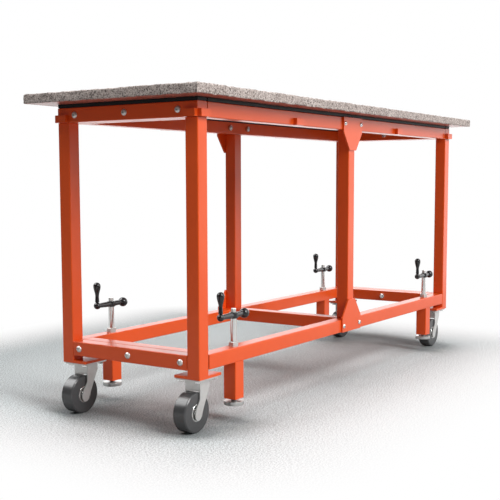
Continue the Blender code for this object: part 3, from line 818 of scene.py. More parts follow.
def bead_recipe() -> Recipe:
    """Make the tree that lays a weld bead of overlapping drops along each edge.

    Returns:
        The tree with its inputs.
    """
    recipe = Recipe("lay_weld_beads", {"Spacing": "NodeSocketFloat", "Radius": "NodeSocketFloat",
                                       "Seed": "NodeSocketInt"})
    smallest, largest, rounds = (0.85, 0.85, 0.85), (1.1, 1.1, 1.1), 2
    path = add_node(recipe.tree, "GeometryNodeMeshToCurve", {}, {"Mesh": recipe.source["Geometry"]})
    steps = add_node(recipe.tree, "GeometryNodeResampleCurve", {"mode": 'LENGTH'},
                     {"Curve": path.outputs["Curve"], "Length": recipe.source["Spacing"]})
    drop = add_node(recipe.tree, "GeometryNodeMeshIcoSphere", {}, {"Radius": recipe.source["Radius"],
                                                                  "Subdivisions": rounds})
    soft = add_node(recipe.tree, "GeometryNodeSetShadeSmooth", {}, {"Geometry": drop.outputs["Mesh"]})
    size = add_node(recipe.tree, "FunctionNodeRandomValue", {"data_type": 'FLOAT_VECTOR'},
                    {0: smallest, 1: largest, "Seed": recipe.source["Seed"]})
    copies = add_node(recipe.tree, "GeometryNodeInstanceOnPoints", {},
                      {"Points": steps.outputs["Curve"], "Instance": soft.outputs["Geometry"],
                       "Scale": size.outputs[0]})
    recipe.close(copies.outputs["Instances"])
    return recipe


@dataclass
class FastenerSet:
    """Copies of one fastener at the places where the table needs it."""

    recipe: Recipe
    shape: Mesh
    finish: Finish
    spots: list[tuple[Vector, Vector]] = field(default_factory=list)

    def add(self, spot: Sequence[float], facing: Sequence[float]) -> None:
        """Set one more fastener at a place, facing a way."""
        self.spots.append((Vector(spot), Vector(facing)))

    def dress(self, name: str, body: str) -> None:
        """Make one piece of all the copies.

        Args:
            name: the piece's name.
            body: the body that they move with.
        """
        points = bpy.data.meshes.new(f"{name}_points")
        points.from_pydata([spot for spot, _ in self.spots], [], [])
        facing = points.attributes.new("facing", 'FLOAT_VECTOR', 'POINT')
        for i, (_, way) in enumerate(self.spots):
            facing.data[i].vector = way
        template = bpy.data.objects.new(f"{name}_shape", self.shape)
        mesh = self.recipe.grow(name, points, {"Fastener": template, "Finish": self.finish.material()})
        bpy.data.objects.remove(template)
        add_piece(name, mesh, self.finish, body)


# Fasteners

def button_head(radius: float, height: float, socket: float) -> Mesh:
    """Make a button-head bolt's head with its hexagon socket, standing on z = 0.

    Args:
        radius: radius of the head.
        height: height of the dome.
        socket: corner radius of the socket.

    Returns:
        The mesh.
    """
    sides, socket_floor = 24, 0.45
    dome = [(1.0, 0.0), (1.0, 0.12), (0.9, 0.5), (0.7, 0.82), (0.5, 1.0)]
    rows = [(polygon(radius * width, sides), height * rise) for width, rise in dome]
    flat = socket * math.cos(math.pi / 6)
    hexed = []
    for u, v in polygon(1.0, sides):
        reach = flat / math.cos(math.atan2(v, u) % (math.pi / 3) - math.pi / 6)
        hexed.append((u * reach, v * reach))
    rows += [(hexed, height), (hexed, height * socket_floor)]
    return fused("button_head", [stack(rows, Axis.Z)], SHARP_DOMED)


def hex_solid(flats: float, bottom: float, top: float, edge: float,
              centre: Sequence[float] = (0.0, 0.0)) -> Solid:
    """Make a hexagon block of a width across its flats, with its top corners turned down by an edge."""
    flat, face = hexagon(flats), 0.9
    return stack([(flat, bottom), (flat, top - edge), (scaled(flat, face), top)], Axis.Z, centre)


def hex_nut(flats: float, height: float, bolt_radius: float, tail: float) -> Mesh:
    """Make a hexagon nut with the bolt's end in it, standing on z = 0.

    Args:
        flats: width across the flats.
        height: height of the nut.
        bolt_radius: radius of the bolt.
        tail: how far the bolt stands out of the nut.

    Returns:
        The mesh.
    """
    edge = 0.0008
    end = height + tail
    shank = lathe([(bolt_radius, height / 2), (bolt_radius, end - edge), (bolt_radius - edge, end)],
                  sides=18)
    return fused("hex_nut", [hex_solid(flats, 0.0, height, edge), shank], SHARP_MACHINED)


def hex_head(flats: float, height: float) -> Mesh:
    """Make a hexagon bolt head with its washer face, standing on z = 0.

    Args:
        flats: width across the flats.
        height: height of the head.

    Returns:
        The mesh.
    """
    washer, spread, edge = 0.0012, 0.62, 0.0008
    face = lathe([(flats * spread, 0.0), (flats * spread, washer)], sides=24)
    return fused("hex_head", [hex_solid(flats, washer, height, edge), face], SHARP_MACHINED)


# The frame

@dataclass
class TubeFrame:
    """The bolted frame: legs, rails, cross tubes, splice plates, lugs, caster pads and jack sleeves."""

    splice_width: float = 0.119
    splice_tip: float = 0.0415
    splice_shoulder: float = 0.006
    splice_taper: float = 0.0545
    splice_thickness: float = 0.005
    splice_bolts: float = 0.101
    splice_sharp: float = 20.0
    plate_edge: float = 0.0007
    pad_corner: float = 0.002
    lug_width: float = 0.0375
    lug_height: float = 0.019
    lug_depth: float = 0.0115
    lug_edge: float = 0.001
    lug_from_middle: float = 0.324
    end_bolt_inset: float = 0.0595
    end_bolt: tuple[float, float, float] = (0.0086, 0.0045, 0.0034)
    splice_bolt: tuple[float, float, float] = (0.0070, 0.0040, 0.0030)
    frame_nut: tuple[float, float, float, float] = (0.016, 0.008, 0.005, 0.003)
    sleeve_length: float = 0.0975
    nut_flats: float = 0.024
    nut_height: float = 0.0125
    nut_bore: float = 0.0166
    nut_edge: float = 0.0008
    nut_face: float = 0.94
    bead_radius: float = 0.0012
    bead_spacing: float = 0.0014
    bead_seed: int = 5
    body: str = "frame"

    @property
    def lower_level(self) -> float:
        """Return the height of the lower rails' axes."""
        return SIZES.lower_rail + SIZES.tube / 2

    @property
    def upper_level(self) -> float:
        """Return the height of the upper rails' axes."""
        return SIZES.upper_rail + SIZES.tube / 2

    def dress(self) -> None:
        """Dress every node of the frame."""
        self.legs()
        self.mid_legs()
        self.end_rails()
        self.side_rails()
        self.fasteners()
        self.welds()

    def paint(self, node: str, solids: Sequence[Solid]) -> None:
        """Add a painted piece in place of a node."""
        stand_in(node, "tube", solids, ORANGE_COAT, self.body)

    def legs(self) -> None:
        """Dress the corner legs with the pads that the casters bolt to."""
        top = SIZES.upper_rail - SIZES.clearance
        outline = rounded_rectangle(SIZES.pad_x, SIZES.pad_y, self.pad_corner, steps=3)
        for corner in CORNERS:
            middle = (corner.sx * (SIZES.length - SIZES.pad_x) / 2,
                      corner.sy * (SIZES.width - SIZES.pad_y) / 2)
            pad = prism(outline, Axis.Z, SIZES.pad_bottom, SIZES.pad_top, middle).soften(self.plate_edge)
            centre = (corner.sx * SIZES.leg_x, corner.sy * SIZES.rail_y)
            tube = square_tube(Axis.Z, SIZES.pad_top - SIZES.sunk, top, centre)
            self.paint(f"leg_{corner.name}", [pad, tube])

    def mid_legs(self) -> None:
        """Dress the mid legs with the plates that splice the rail halves."""
        foot = SIZES.lower_rail_top + SIZES.clearance
        top = SIZES.upper_rail - SIZES.clearance
        inner = SIZES.width / 2 + SIZES.clearance
        for side, sign in SIDES.items():
            faces = sorted((sign * inner, sign * (inner + self.splice_thickness)))
            solids = [square_tube(Axis.Z, foot, top, (0.0, sign * (inner + SIZES.sunk - SIZES.tube / 2)))]
            for edge, far in ((SIZES.upper_rail, SIZES.upper_rail + SIZES.tube),
                              (SIZES.lower_rail_top, SIZES.lower_rail)):
                plate = prism(self.splice_outline(edge, far), Axis.Y, *faces)
                solids.append(plate.soften(self.plate_edge, limit=self.splice_sharp))
            self.paint(f"mid_leg_{side}", solids)

    def splice_outline(self, edge: float, far: float) -> Outline:
        """Outline of a splice plate.

        Args:
            edge: height of the rail's edge that the plate reaches past.
            far: height of the rail's other edge.

        Returns:
            Points in X and Z.
        """
        way = math.copysign(1.0, edge - far)
        shoulder = edge + way * self.splice_shoulder
        tip = shoulder + way * self.splice_taper
        right = [(self.splice_width / 2, far), (self.splice_width / 2, shoulder), (self.splice_tip / 2, tip)]
        return right + [(-x, z) for x, z in reversed(right)]

    def lug(self, axis: Axis, sign: int, face: float, across: float) -> Solid:
        """Make a lug block on an outer face of an upper rail.

        Args:
            axis: direction that the face points.
            sign: which way along the axis.
            face: distance of the face from the middle.
            across: place along the rail.

        Returns:
            The lug.
        """
        reach = sorted((sign * (face - SIZES.sunk), sign * (face + self.lug_depth)))
        outline = rounded_rectangle(self.lug_width, self.lug_height, self.lug_edge, steps=3)
        level = SIZES.upper_rail + SIZES.sunk + self.lug_height / 2
        return prism(outline, axis, *reach, (across, level)).soften(self.lug_edge)

    def end_rails(self) -> None:
        """Dress the upper end rails with their lugs, the lower ones and the cross tubes."""
        half = SIZES.width / 2
        inside, between = SIZES.span(SIZES.clearance), SIZES.span(SIZES.end_rail_joint)
        for end, sign in ENDS.items():
            solids = [square_tube(Axis.Y, -half, half, (sign * SIZES.leg_x, self.upper_level), capped=True)]
            for side in SIDES.values():
                solids.append(self.lug(Axis.X, sign, SIZES.length / 2, side * SIZES.rail_y))
                solids.append(self.lug(Axis.Y, side, half, sign * SIZES.leg_x))
            self.paint(f"upper_end_rail_{end}", solids)
            runs = {f"lower_end_rail_{end}": (between, SIZES.leg_x, self.lower_level),
                    f"upper_cross_tube_{end}": (inside, SIZES.cross_x, self.upper_level),
                    f"lower_cross_tube_{end}": (inside, SIZES.cross_x, self.lower_level)}
            for name, (span, x, level) in runs.items():
                self.paint(name, [square_tube(Axis.Y, *span, (sign * x, level))])
        self.paint("mid_cross_rail", [square_tube(Axis.Y, *inside, (0.0, self.lower_level))])

    def side_rails(self) -> None:
        """Dress the upper side rails with a lug and the lower ones with a jack's sleeve and nut."""
        nuts = []
        sleeve_bottom = SIZES.lower_rail - self.sleeve_length
        for corner in CORNERS:
            span = sorted((corner.sx * SIZES.rail_end, corner.sx * SIZES.clearance / 2))
            y = corner.sy * SIZES.rail_y
            self.paint(f"upper_side_rail_{corner.name}",
                       [square_tube(Axis.X, *span, (y, self.upper_level)),
                        self.lug(Axis.Y, corner.sy, SIZES.width / 2, corner.sx * self.lug_from_middle)])
            jack = (corner.sx * SIZES.jack_x, y)
            self.paint(f"lower_side_rail_{corner.name}",
                       [square_tube(Axis.X, *span, (y, self.lower_level)),
                        square_tube(Axis.Z, sleeve_bottom, SIZES.lower_rail + SIZES.sunk, jack)])
            nuts.append(self.jack_nut(jack))
        add_piece("jack_nuts", fused("jack_nuts", nuts, SHARP_MACHINED), DULL_ZINC, self.body)

    def jack_nut(self, centre: Sequence[float]) -> Solid:
        """Make the nut that a jack's screw runs in, with its corners turned down at the top.

        Args:
            centre: the screw's place.

        Returns:
            The nut.
        """
        bottom = SIZES.lower_rail_top
        top = bottom + self.nut_height
        flat, bore = hexagon(self.nut_flats), hexagon(self.nut_bore)
        rows = [(flat, bottom), (flat, top - self.nut_edge), (scaled(flat, self.nut_face), top), (bore, top),
                (bore, bottom)]
        return stack(rows, Axis.Z, centre, ring=True)

    def fasteners(self) -> None:
        """Dress the end joints and the splice plates with their bolts and nuts."""
        recipe = fastener_recipe()
        bolts = FastenerSet(recipe, button_head(*self.end_bolt), DULL_ZINC)
        splice_bolts = FastenerSet(recipe, button_head(*self.splice_bolt), BRIGHT_ZINC)
        nuts = FastenerSet(recipe, hex_nut(*self.frame_nut), BRIGHT_ZINC)
        bolt_y = SIZES.width / 2 - self.end_bolt_inset
        nut_x = SIZES.cross_x - SIZES.tube / 2
        seat_y = SIZES.width / 2 + SIZES.clearance + self.splice_thickness
        nut_y = SIZES.rail_y - SIZES.tube / 2
        for level in (self.lower_level, self.upper_level):
            for sign in ENDS.values():
                for y in (-bolt_y, 0.0, bolt_y):
                    bolts.add((sign * SIZES.length / 2, y, level), (sign, 0, 0))
                    nuts.add((sign * nut_x, y, level), (-sign, 0, 0))
            for sign in SIDES.values():
                for x in (-self.splice_bolts / 2, self.splice_bolts / 2):
                    splice_bolts.add((x, sign * seat_y, level), (0, sign, 0))
                    nuts.add((x, sign * nut_y, level), (0, -sign, 0))
        bolts.dress("end_bolts", self.body)
        splice_bolts.dress("splice_bolts", self.body)
        nuts.dress("frame_nuts", self.body)

    def welds(self) -> None:
        """Lay weld beads where the pads and the sleeves join their tubes."""
        paths: list[list[Vector]] = []
        half = SIZES.tube / 2
        inset = half - SIZES.tube_corner
        for corner in CORNERS:
            x, y = corner.sx * SIZES.leg_x, corner.sy * SIZES.rail_y
            inner_x, inner_y = x - corner.sx * half, y - corner.sy * half
            z = SIZES.pad_top
            paths.append([Vector((inner_x, y - inset, z)), Vector((inner_x, y + inset, z))])
            paths.append([Vector((x - inset, inner_y, z)), Vector((x + inset, inner_y, z))])
            x, z = corner.sx * SIZES.jack_x, SIZES.lower_rail
            for side in (-half, half):
                paths.append([Vector((x + side, y - inset, z)), Vector((x + side, y + inset, z))])
        lines = bpy.data.meshes.new("weld_lines")
        points = [point for path in paths for point in path]
        lines.from_pydata(points, [(i, i + 1) for i in range(0, len(points), 2)], [])
        values = {"Spacing": self.bead_spacing, "Radius": self.bead_radius, "Seed": self.bead_seed,
                  "Finish": ORANGE_COAT.material()}
        mesh = bead_recipe().grow("weld_beads", lines, values)
        add_piece("weld_beads", mesh, ORANGE_COAT, self.body)


# The top

@dataclass
class StoneTop:
    """The granite slab, split rough along its edge, on its rubber strips."""

    overhang_x: float = 0.071
    overhang_y: float = 0.0534
    thickness: float = 0.025
    pitch: float = 0.004
    rows: int = 9
    rough: float = 0.003
    lower_inset: float = 0.0015
    upper_inset: float = 0.001
    upper_drop: float = 0.0025
    margin: float = 0.012
    wide_breaks: float = 28.0
    wide_share: float = 0.5
    fine_breaks: float = 190.0
    fine_share: float = 0.35
    mean_depth: float = 0.45
    chips: float = 60.0
    chip_share: float = 0.2
    lower_rough: float = 0.6
    upper_rough: float = 1.3
    rubber: float = 0.009
    rubber_inset: float = 0.0004
    rubber_edge: float = 0.0012
    body: str = "frame"

    def dress(self) -> None:
        """Dress the slab and the strips."""
        self.slab()
        self.strips()

    def edge_points(self, half_x: float, half_y: float) -> Iterator[tuple[float, float, Vector]]:
        """Yield points round the slab's edge.

        Args:
            half_x: half the slab's length.
            half_y: half the slab's width.

        Yields:
            X, Y and the way out of the edge.
        """
        corners = [(-half_x, -half_y), (half_x, -half_y), (half_x, half_y), (-half_x, half_y)]
        ways = [Vector((0, -1, 0)), Vector((1, 0, 0)), Vector((0, 1, 0)), Vector((-1, 0, 0))]
        for i, out in enumerate(ways):
            (x0, y0), (x1, y1) = corners[i], corners[(i + 1) % len(corners)]
            steps = max(2, round(math.hypot(x1 - x0, y1 - y0) / self.pitch))
            for step in range(steps):
                share = step / steps
                yield x0 + (x1 - x0) * share, y0 + (y1 - y0) * share, out

    def slab(self) -> None:
        """Make the slab: a flat top and underside with a broken edge between them."""
        half_x, half_y = SIZES.length / 2 + self.overhang_x, SIZES.width / 2 + self.overhang_y
        bottom = SIZES.support + SIZES.clearance
        top = bottom + self.thickness
        edge = list(self.edge_points(half_x, half_y))
        spectrum, elsewhere = (0.7, 2.1, 5), Vector((7, 3, 1))

        def ring(height: float, inset: float, rough: float, drop: float = 0.0) -> list[Vector]:
            """Draw the edge at one height, drawn in and broken up.

            Args:
                height: level of the ring.
                inset: how far it is drawn in.
                rough: depth of the breaks.
                drop: how far the chips fall.

            Returns:
                The points in order.
            """
            loop = []
            for x, y, out in edge:
                near = Vector((max(-half_x + inset, min(half_x - inset, x)),
                               max(-half_y + inset, min(half_y - inset, y)), height))
                wave = noise.fractal(near * self.wide_breaks, *spectrum) * self.wide_share
                wave += noise.noise(near * self.fine_breaks) * self.fine_share
                depth = rough * max(0.0, min(1.0, self.mean_depth + wave))
                fall = drop * max(0.0, noise.noise(near * self.chips + elsewhere) + self.chip_share)
                loop.append(near - out * depth - Vector((0, 0, fall)))
            return loop

        loops = [ring(bottom, self.lower_inset, self.rough * self.lower_rough)]
        for i in range(1, self.rows):
            loops.append(ring(bottom + self.thickness * i / self.rows, 0.0, self.rough))
        loops.append(ring(top, self.upper_inset, self.rough * self.upper_rough, self.upper_drop))
        loops.append([Vector((x * (1 - self.margin / half_x), y * (1 - self.margin / half_y), top))
                      for x, y, _ in edge])
        mesh = fused("granite_slab", [Solid().loft(loops)], SHARP_STONE)
        add_piece("granite_slab", mesh, GRANITE, self.body, ["stone_top"])

    def strips(self) -> None:
        """Make the six rubber strips, with rounded edges."""
        half = SIZES.tube / 2 - self.rubber_inset
        reach_y = SIZES.width / 2 - self.rubber_inset
        for end, sign in ENDS.items():
            x = sign * SIZES.leg_x
            self.strip(f"rubber_strip_{end}", (x - half, -reach_y), (x + half, reach_y))
        for corner in CORNERS:
            y = corner.sy * SIZES.rail_y
            reach_x = corner.sx * (SIZES.rail_end - self.rubber_inset)
            first, last = sorted((corner.sx * self.rubber_inset, reach_x))
            self.strip(f"rubber_strip_{corner.name}", (first, y - half), (last, y + half))

    def strip(self, node: str, low: Sequence[float], high: Sequence[float]) -> None:
        """Add one rubber strip in place of its node, between its lowest and highest X and Y."""
        solid = block((*low, SIZES.support - self.rubber), (*high, SIZES.support), self.rubber_edge)
        stand_in(node, "strip", [solid], STRIP_RUBBER, self.body)


# Casters

@dataclass
class Caster:
    """A swivel caster: top plate and race on the frame, fork and axle on the swivel, and the wheel."""

    corner: Corner
    bolts: FastenerSet
    plate_x: float = 0.086
    plate_y: float = 0.075
    plate_corner: float = 0.006
    plate_thickness: float = 0.004
    plate_bottom: float = 0.1315
    race_radius: float = 0.018
    race_bottom: float = 0.1290
    pin_radius: float = 0.006
    pin_head: float = 0.009
    pin_head_height: float = 0.004
    fork_top: float = 0.1287
    head_x: float = 0.040
    head_bottom: float = 0.1036
    head_inset: float = 0.0002
    sheet: float = 0.0035
    sheet_edge: float = 0.0007
    arm_inner: float = 0.0200
    trail: float = 0.0265
    arm_knee: float = 0.0875
    arm_shoulder: float = 0.1128
    arm_end: float = 0.0123
    arm_end_height: float = 0.0438
    bend_drop: float = 0.012
    bend_draw: tuple[float, float] = (-0.0365, 0.0665)
    wheel_radius: float = 0.0508
    wheel_width: float = 0.038
    wheel_well: float = 0.0035
    rim: float = 0.0016
    hub_radius: float = 0.0225
    hub_ring: float = 0.0032
    hub_cup: float = 0.006
    hub_lip: float = 0.6
    hub_proud: float = 0.0007
    hub_edge: float = 0.0005
    boss_gap: float = 0.002
    boss_edge: float = 0.001
    axle_radius: float = 0.005
    bolt_edge: float = 0.0125

    def dress(self) -> None:
        """Dress the caster's pieces."""
        self.top_plate()
        self.fork()
        self.wheel()

    @property
    def centre(self) -> tuple[float, float]:
        """Return the place of the swivel axis."""
        return self.corner.sx * SIZES.caster_x, self.corner.sy * SIZES.caster_y

    @property
    def axle(self) -> tuple[float, float]:
        """Return the X and Z of the axle."""
        return self.centre[0] - self.trail, self.wheel_radius

    def top_plate(self) -> None:
        """Make the plate under the pad, its ball race and the kingpin, and place its bolts."""
        x, y = self.centre
        outline = rounded_rectangle(self.plate_x, self.plate_y, self.plate_corner, steps=6)
        plate = prism(outline, Axis.Z, self.plate_bottom, self.plate_bottom + self.plate_thickness, (x, y))
        r, edge = self.race_radius, self.sheet_edge
        low, high = self.race_bottom, self.plate_bottom + SIZES.sunk
        race = lathe([(self.pin_radius, low), (r - edge, low), (r, low + edge), (r, high)], Axis.Z,
                     (x, y), sides=48)
        seat = self.fork_top - self.sheet - SIZES.clearance
        pin, head, foot = self.pin_radius, self.pin_head, seat - self.pin_head_height
        kingpin = lathe([(pin, low + edge), (pin, seat), (head, seat), (head, foot + 2 * edge),
                         (head - 2 * edge, foot)], Axis.Z, (x, y))
        stand_in(f"caster_top_plate_{self.corner.name}", "pressing", [plate.soften(edge), race, kingpin],
                 PRESSED_ZINC, "frame")
        half_x, half_y = self.plate_x / 2 - self.bolt_edge, self.plate_y / 2 - self.bolt_edge
        for sx in (-1, 1):
            for sy in (-1, 1):
                self.bolts.add((x + sx * half_x, y + sy * half_y, self.plate_bottom), (0, 0, -1))

    def arm_outline(self) -> Outline:
        """Draw a fork arm, from its square head to the tongue past the axle.

        Returns:
            Points in X and Z.
        """
        x, half, end = self.centre[0], self.head_x / 2, self.arm_end
        low = self.arm_end_height
        first, sweep, steps = math.radians(168), math.radians(182), 20
        tongue = []
        for i in range(steps + 1):
            angle = first + sweep * i / steps
            tongue.append((end * math.cos(angle) - self.trail, low + end * math.sin(angle)))
        knee = Vector((-half, self.arm_knee))
        pull = knee - Vector((0.0, self.bend_drop))
        bend = curve(knee, pull, Vector(self.bend_draw), Vector(tongue[0]), steps=10)
        points = [(-half, self.fork_top), *bend[:-1], *tongue, (half, self.arm_shoulder),
                  (half, self.fork_top)]
        return [(x + u, v) for u, v in points]

    def head(self) -> Solid:
        """Make the fork's folded head: a box of sheet, open below, with the kingpin's hole in its top.

        Returns:
            The head with sharp edges.
        """
        steps = 3
        half_x, half_y = self.head_x / 2 - self.head_inset, self.arm_inner + SIZES.sunk
        outer = rounded_rectangle(2 * half_x, 2 * half_y, self.head_inset, steps)
        inside_x, inside_y = half_x - self.sheet, self.arm_inner - SIZES.sunk
        inner = rounded_rectangle(2 * inside_x, 2 * inside_y, self.head_inset, steps)
        hole = polygon(self.pin_radius + SIZES.clearance, len(outer), math.pi / len(outer))
        top = self.fork_top - self.head_inset
        under = self.fork_top - self.sheet
        rows = [(outer, self.head_bottom), (outer, top), (hole, top), (hole, under), (inner, under),
                (inner, self.head_bottom)]
        return stack(rows, Axis.Z, self.centre, ring=True)

    def fork(self) -> None:
        """Make the fork: the folded head, the two arms and the axle riveted flush between them."""
        y = self.centre[1]
        inner, outer = self.arm_inner, self.arm_inner + self.sheet
        solids = [self.head().soften(self.head_inset, 1)]
        for sign in (-1, 1):
            faces = sorted((y + sign * inner, y + sign * outer))
            solids.append(prism(self.arm_outline(), Axis.Y, *faces).soften(self.sheet_edge))
        proud, edge = outer + self.head_inset, self.sheet_edge
        r = self.axle_radius
        rivet = [(r - edge, y - proud), (r, y - outer), (r, y + outer), (r - edge, y + proud)]
        solids.append(lathe(rivet, Axis.Y, self.axle, sides=28))
        name = self.corner.name
        stand_in(f"caster_fork_{name}", "pressing", solids, PRESSED_ZINC, f"caster_swivel_{name}")

    def wheel(self) -> None:
        """Make the wheel with its turned rim edges, and the bright hub rings in its faces."""
        y, node = self.centre[1], f"caster_wheel_{self.corner.name}"
        r, half, hub, rim = self.wheel_radius, self.wheel_width / 2, self.hub_radius, self.rim
        bore, deep = self.axle_radius + SIZES.clearance, half - self.wheel_well
        rounding = ((2.0, 0.0), (1.6, 0.2), (0.5, 1.3), (0.2, 1.7), (0.0, 2.2))
        side = [(bore, deep), (hub, deep), (hub, half)]
        side += [(r - inset * rim, half - drop * rim) for inset, drop in rounding]
        profile = [(radius, -place) for radius, place in side] + side[::-1]
        tyre = lathe([(radius, y + place) for radius, place in profile], Axis.Y, self.axle, sides=96,
                     ring=True)
        stand_in(node, "tyre", [tyre], TREAD, node, SHARP_TYRE)
        inner, outer = hub - self.hub_ring, hub - SIZES.clearance
        proud, edge = half + self.hub_proud, self.hub_edge
        cup, lip = inner - self.hub_cup, half - self.hub_lip * self.wheel_well
        face = [(cup, deep), (outer, deep), (outer, proud - edge), (outer - edge, proud),
                (inner + edge, proud), (inner, proud - edge), (inner, lip), (cup, lip)]
        rim_of_boss = cup - self.boss_gap
        boss = [(bore, deep), (rim_of_boss, deep), (rim_of_boss, half), (rim_of_boss - self.boss_edge, proud),
                (bore, proud)]
        rings = []
        for sign in (-1, 1):
            for ring in (face, boss):
                turned = [(radius, y + sign * place) for radius, place in ring]
                rings.append(lathe(turned, Axis.Y, self.axle, sides=56, ring=True))
        add_piece(f"caster_hub_rings_{self.corner.name}", fused("hub_rings", rings), BRIGHT_ZINC, node)


# Jacks

@dataclass
class Jack:
    """A levelling jack: foot pad, screw, crank with its ball weight, and revolving grip."""

    corner: Corner
    foot_radius: float = 0.0265
    foot_bottom: float = 0.0427
    foot_top: float = 0.0532
    foot_socket: float = 0.007
    foot_edge: float = 0.0015
    screw_radius: float = 0.0080
    tip_radius: float = 0.006
    thread_lead: float = 0.003175
    thread_depth: float = 0.0006
    thread_top: float = 0.150
    end_radius: float = 0.0063
    end_height: float = 0.010
    end_nut: float = 0.0125
    hub_radius: float = 0.0115
    hub_edge: float = 0.0016
    arm_length: float = 0.0565
    seat_radius: float = 0.0098
    neck_radius: float = 0.0066
    root_radius: float = 0.0080
    ball_radius: float = 0.0134
    ball_offset: float = 0.0495
    grip_bottom: float = 0.2853
    grip_length: float = 0.0554
    grip_neck: float = 0.0051
    grip_head: float = 0.0103
    grip_neck_share: float = 0.3

    @property
    def axis(self) -> tuple[float, float]:
        """Return the place of the screw."""
        return self.corner.sx * SIZES.jack_x, self.corner.sy * SIZES.rail_y

    @property
    def arm_height(self) -> float:
        """Return the height of the crank's arm."""
        return SIZES.hub_bottom + SIZES.hub_height / 2

    def dress(self) -> None:
        """Dress the jack's pieces."""
        self.foot()
        self.screw()
        self.crank()
        self.grip()

    def foot(self) -> None:
        """Make the turned foot pad with its socket."""
        r, low, high, edge = self.foot_radius, self.foot_bottom, self.foot_top, self.foot_edge
        socket = self.tip_radius + SIZES.clearance
        profile = [(socket, high - self.foot_socket), (socket, high), *turned_edge(r, high, -edge),
                   *reversed(turned_edge(r, low, edge))]
        node = f"jack_foot_{self.corner.name}"
        stand_in(node, "pad", [lathe(profile, Axis.Z, self.axis, sides=64)], TURNED_STEEL, node)

    def thread(self, low: float, high: float) -> Solid:
        """Make the screw's threaded stretch.

        Args:
            low: height of its lower end.
            high: height of its upper end.

        Returns:
            The stretch.
        """
        sides, rows_per_turn = 20, 6
        rows = round((high - low) / self.thread_lead * rows_per_turn)
        stretch = []
        for i in range(rows + 1):
            z = low + (high - low) * i / rows
            outline = []
            for k, (u, v) in enumerate(polygon(1.0, sides)):
                phase = z / self.thread_lead - k / sides
                radius = self.screw_radius - self.thread_depth * (0.5 + 0.5 * math.cos(math.tau * phase))
                outline.append((u * radius, v * radius))
            stretch.append((outline, z))
        return stack(stretch, Axis.Z, self.axis)

    def screw(self) -> None:
        """Make the screw: a plain tip, a rolled thread, a plain rod and the nut that holds the crank."""
        low, high = self.foot_top + SIZES.clearance, SIZES.hub_bottom - SIZES.clearance
        edge, seat = 0.0006, self.foot_top - self.foot_socket
        tip = lathe([(self.tip_radius - edge, seat + SIZES.clearance), (self.tip_radius, seat + edge),
                     (self.tip_radius, low + edge)], Axis.Z, self.axis)
        rod = lathe([(self.screw_radius, self.thread_top), (self.screw_radius, high)], Axis.Z, self.axis,
                    sides=48)
        hub_top = SIZES.hub_bottom + SIZES.hub_height + SIZES.clearance
        nut = hex_solid(self.end_nut, hub_top, hub_top + self.end_height, 2 * edge, self.axis)
        end = lathe([(self.end_radius, high - edge), (self.end_radius, hub_top + edge)], Axis.Z,
                    self.axis, sides=40)
        node = f"jack_screw_{self.corner.name}"
        solids = [self.thread(low, self.thread_top), tip, rod, end]
        stand_in(node, "rod", solids, BRIGHT_ZINC, node, SHARP_MACHINED)
        add_piece(f"crank_nut_{self.corner.name}", fused("crank_nut", [nut], SHARP_MACHINED), DULL_ZINC, node)

    def crank(self) -> None:
        """Make the crank: one turned arm from the grip's seat to the ball weight, on its hub."""
        x, y = self.axis
        neck = math.degrees(math.asin(self.neck_radius / self.seat_radius))
        ball = math.degrees(math.asin(self.neck_radius / self.ball_radius))
        pole, half_turn = 6, 180
        profile = arc(self.seat_radius, -self.arm_length, pole, half_turn - neck, steps=12)
        profile += [(self.root_radius, -self.hub_radius), (self.root_radius, self.hub_radius)]
        profile += arc(self.ball_radius, self.ball_offset, ball, half_turn - pole, steps=16)
        arm = lathe([(radius, x + along) for radius, along in profile], Axis.X, (y, self.arm_height))
        low, bore = SIZES.hub_bottom, self.end_radius + SIZES.clearance
        high = low + SIZES.hub_height
        turned = [(bore, low), *turned_edge(self.hub_radius, low, self.hub_edge),
                  *reversed(turned_edge(self.hub_radius, high, -self.hub_edge)), (bore, high)]
        hub = lathe(turned, Axis.Z, (x, y), sides=40, ring=True)
        name = self.corner.name
        stand_in(f"crank_arm_{name}", "casting", [arm, hub], ENAMEL, f"jack_screw_{name}", SHARP_TURNED)

    def grip(self) -> None:
        """Make the revolving grip: a narrow neck that swells to a rounded head."""
        x, y = self.axis[0] - self.arm_length, self.axis[1]
        low = self.grip_bottom
        top = low + self.grip_length
        head, neck = self.grip_head, self.grip_neck
        mouth, flare, collar = 0.7, 1.15, 0.0015
        profile = [(neck * mouth, low), (neck * flare, low), (neck * flare, low + collar)]
        steps = 12
        neck_top, swell_top = low + self.grip_length * self.grip_neck_share, top - head
        for i in range(steps + 1):
            share = i / steps
            swell = share * share * (3 - 2 * share)
            profile.append((neck + (head - neck) * swell, neck_top + (swell_top - neck_top) * share))
        profile += arc(head, swell_top, first=100, last=172, steps=8)
        node = f"crank_grip_{self.corner.name}"
        stand_in(node, "knob", [lathe(profile, Axis.Z, (x, y), sides=36)], PHENOLIC, node, SHARP_TURNED)


# The studio

@dataclass(frozen=True)
class Lamp:
    """A soft lamp: its name, place, the point that it faces, its width, its height and its power in watts."""

    name: str
    spot: tuple[float, float, float]
    aim: tuple[float, float, float]
    width: float
    height: float
    power: float

    def hang(self) -> None:
        """Add the lamp to the scene."""
        light = bpy.data.lights.new(self.name, 'AREA')
        light.shape = 'RECTANGLE'
        light.size = self.width
        light.size_y = self.height
        light.energy = self.power
        lamp = bpy.data.objects.new(self.name, light)
        way = Vector(self.aim) - Vector(self.spot)
        lamp.rotation_euler = way.to_track_quat('-Z', 'Y').to_euler()
        lamp.location = self.spot
        lamp.visible_camera = False
        bpy.context.collection.objects.link(lamp)


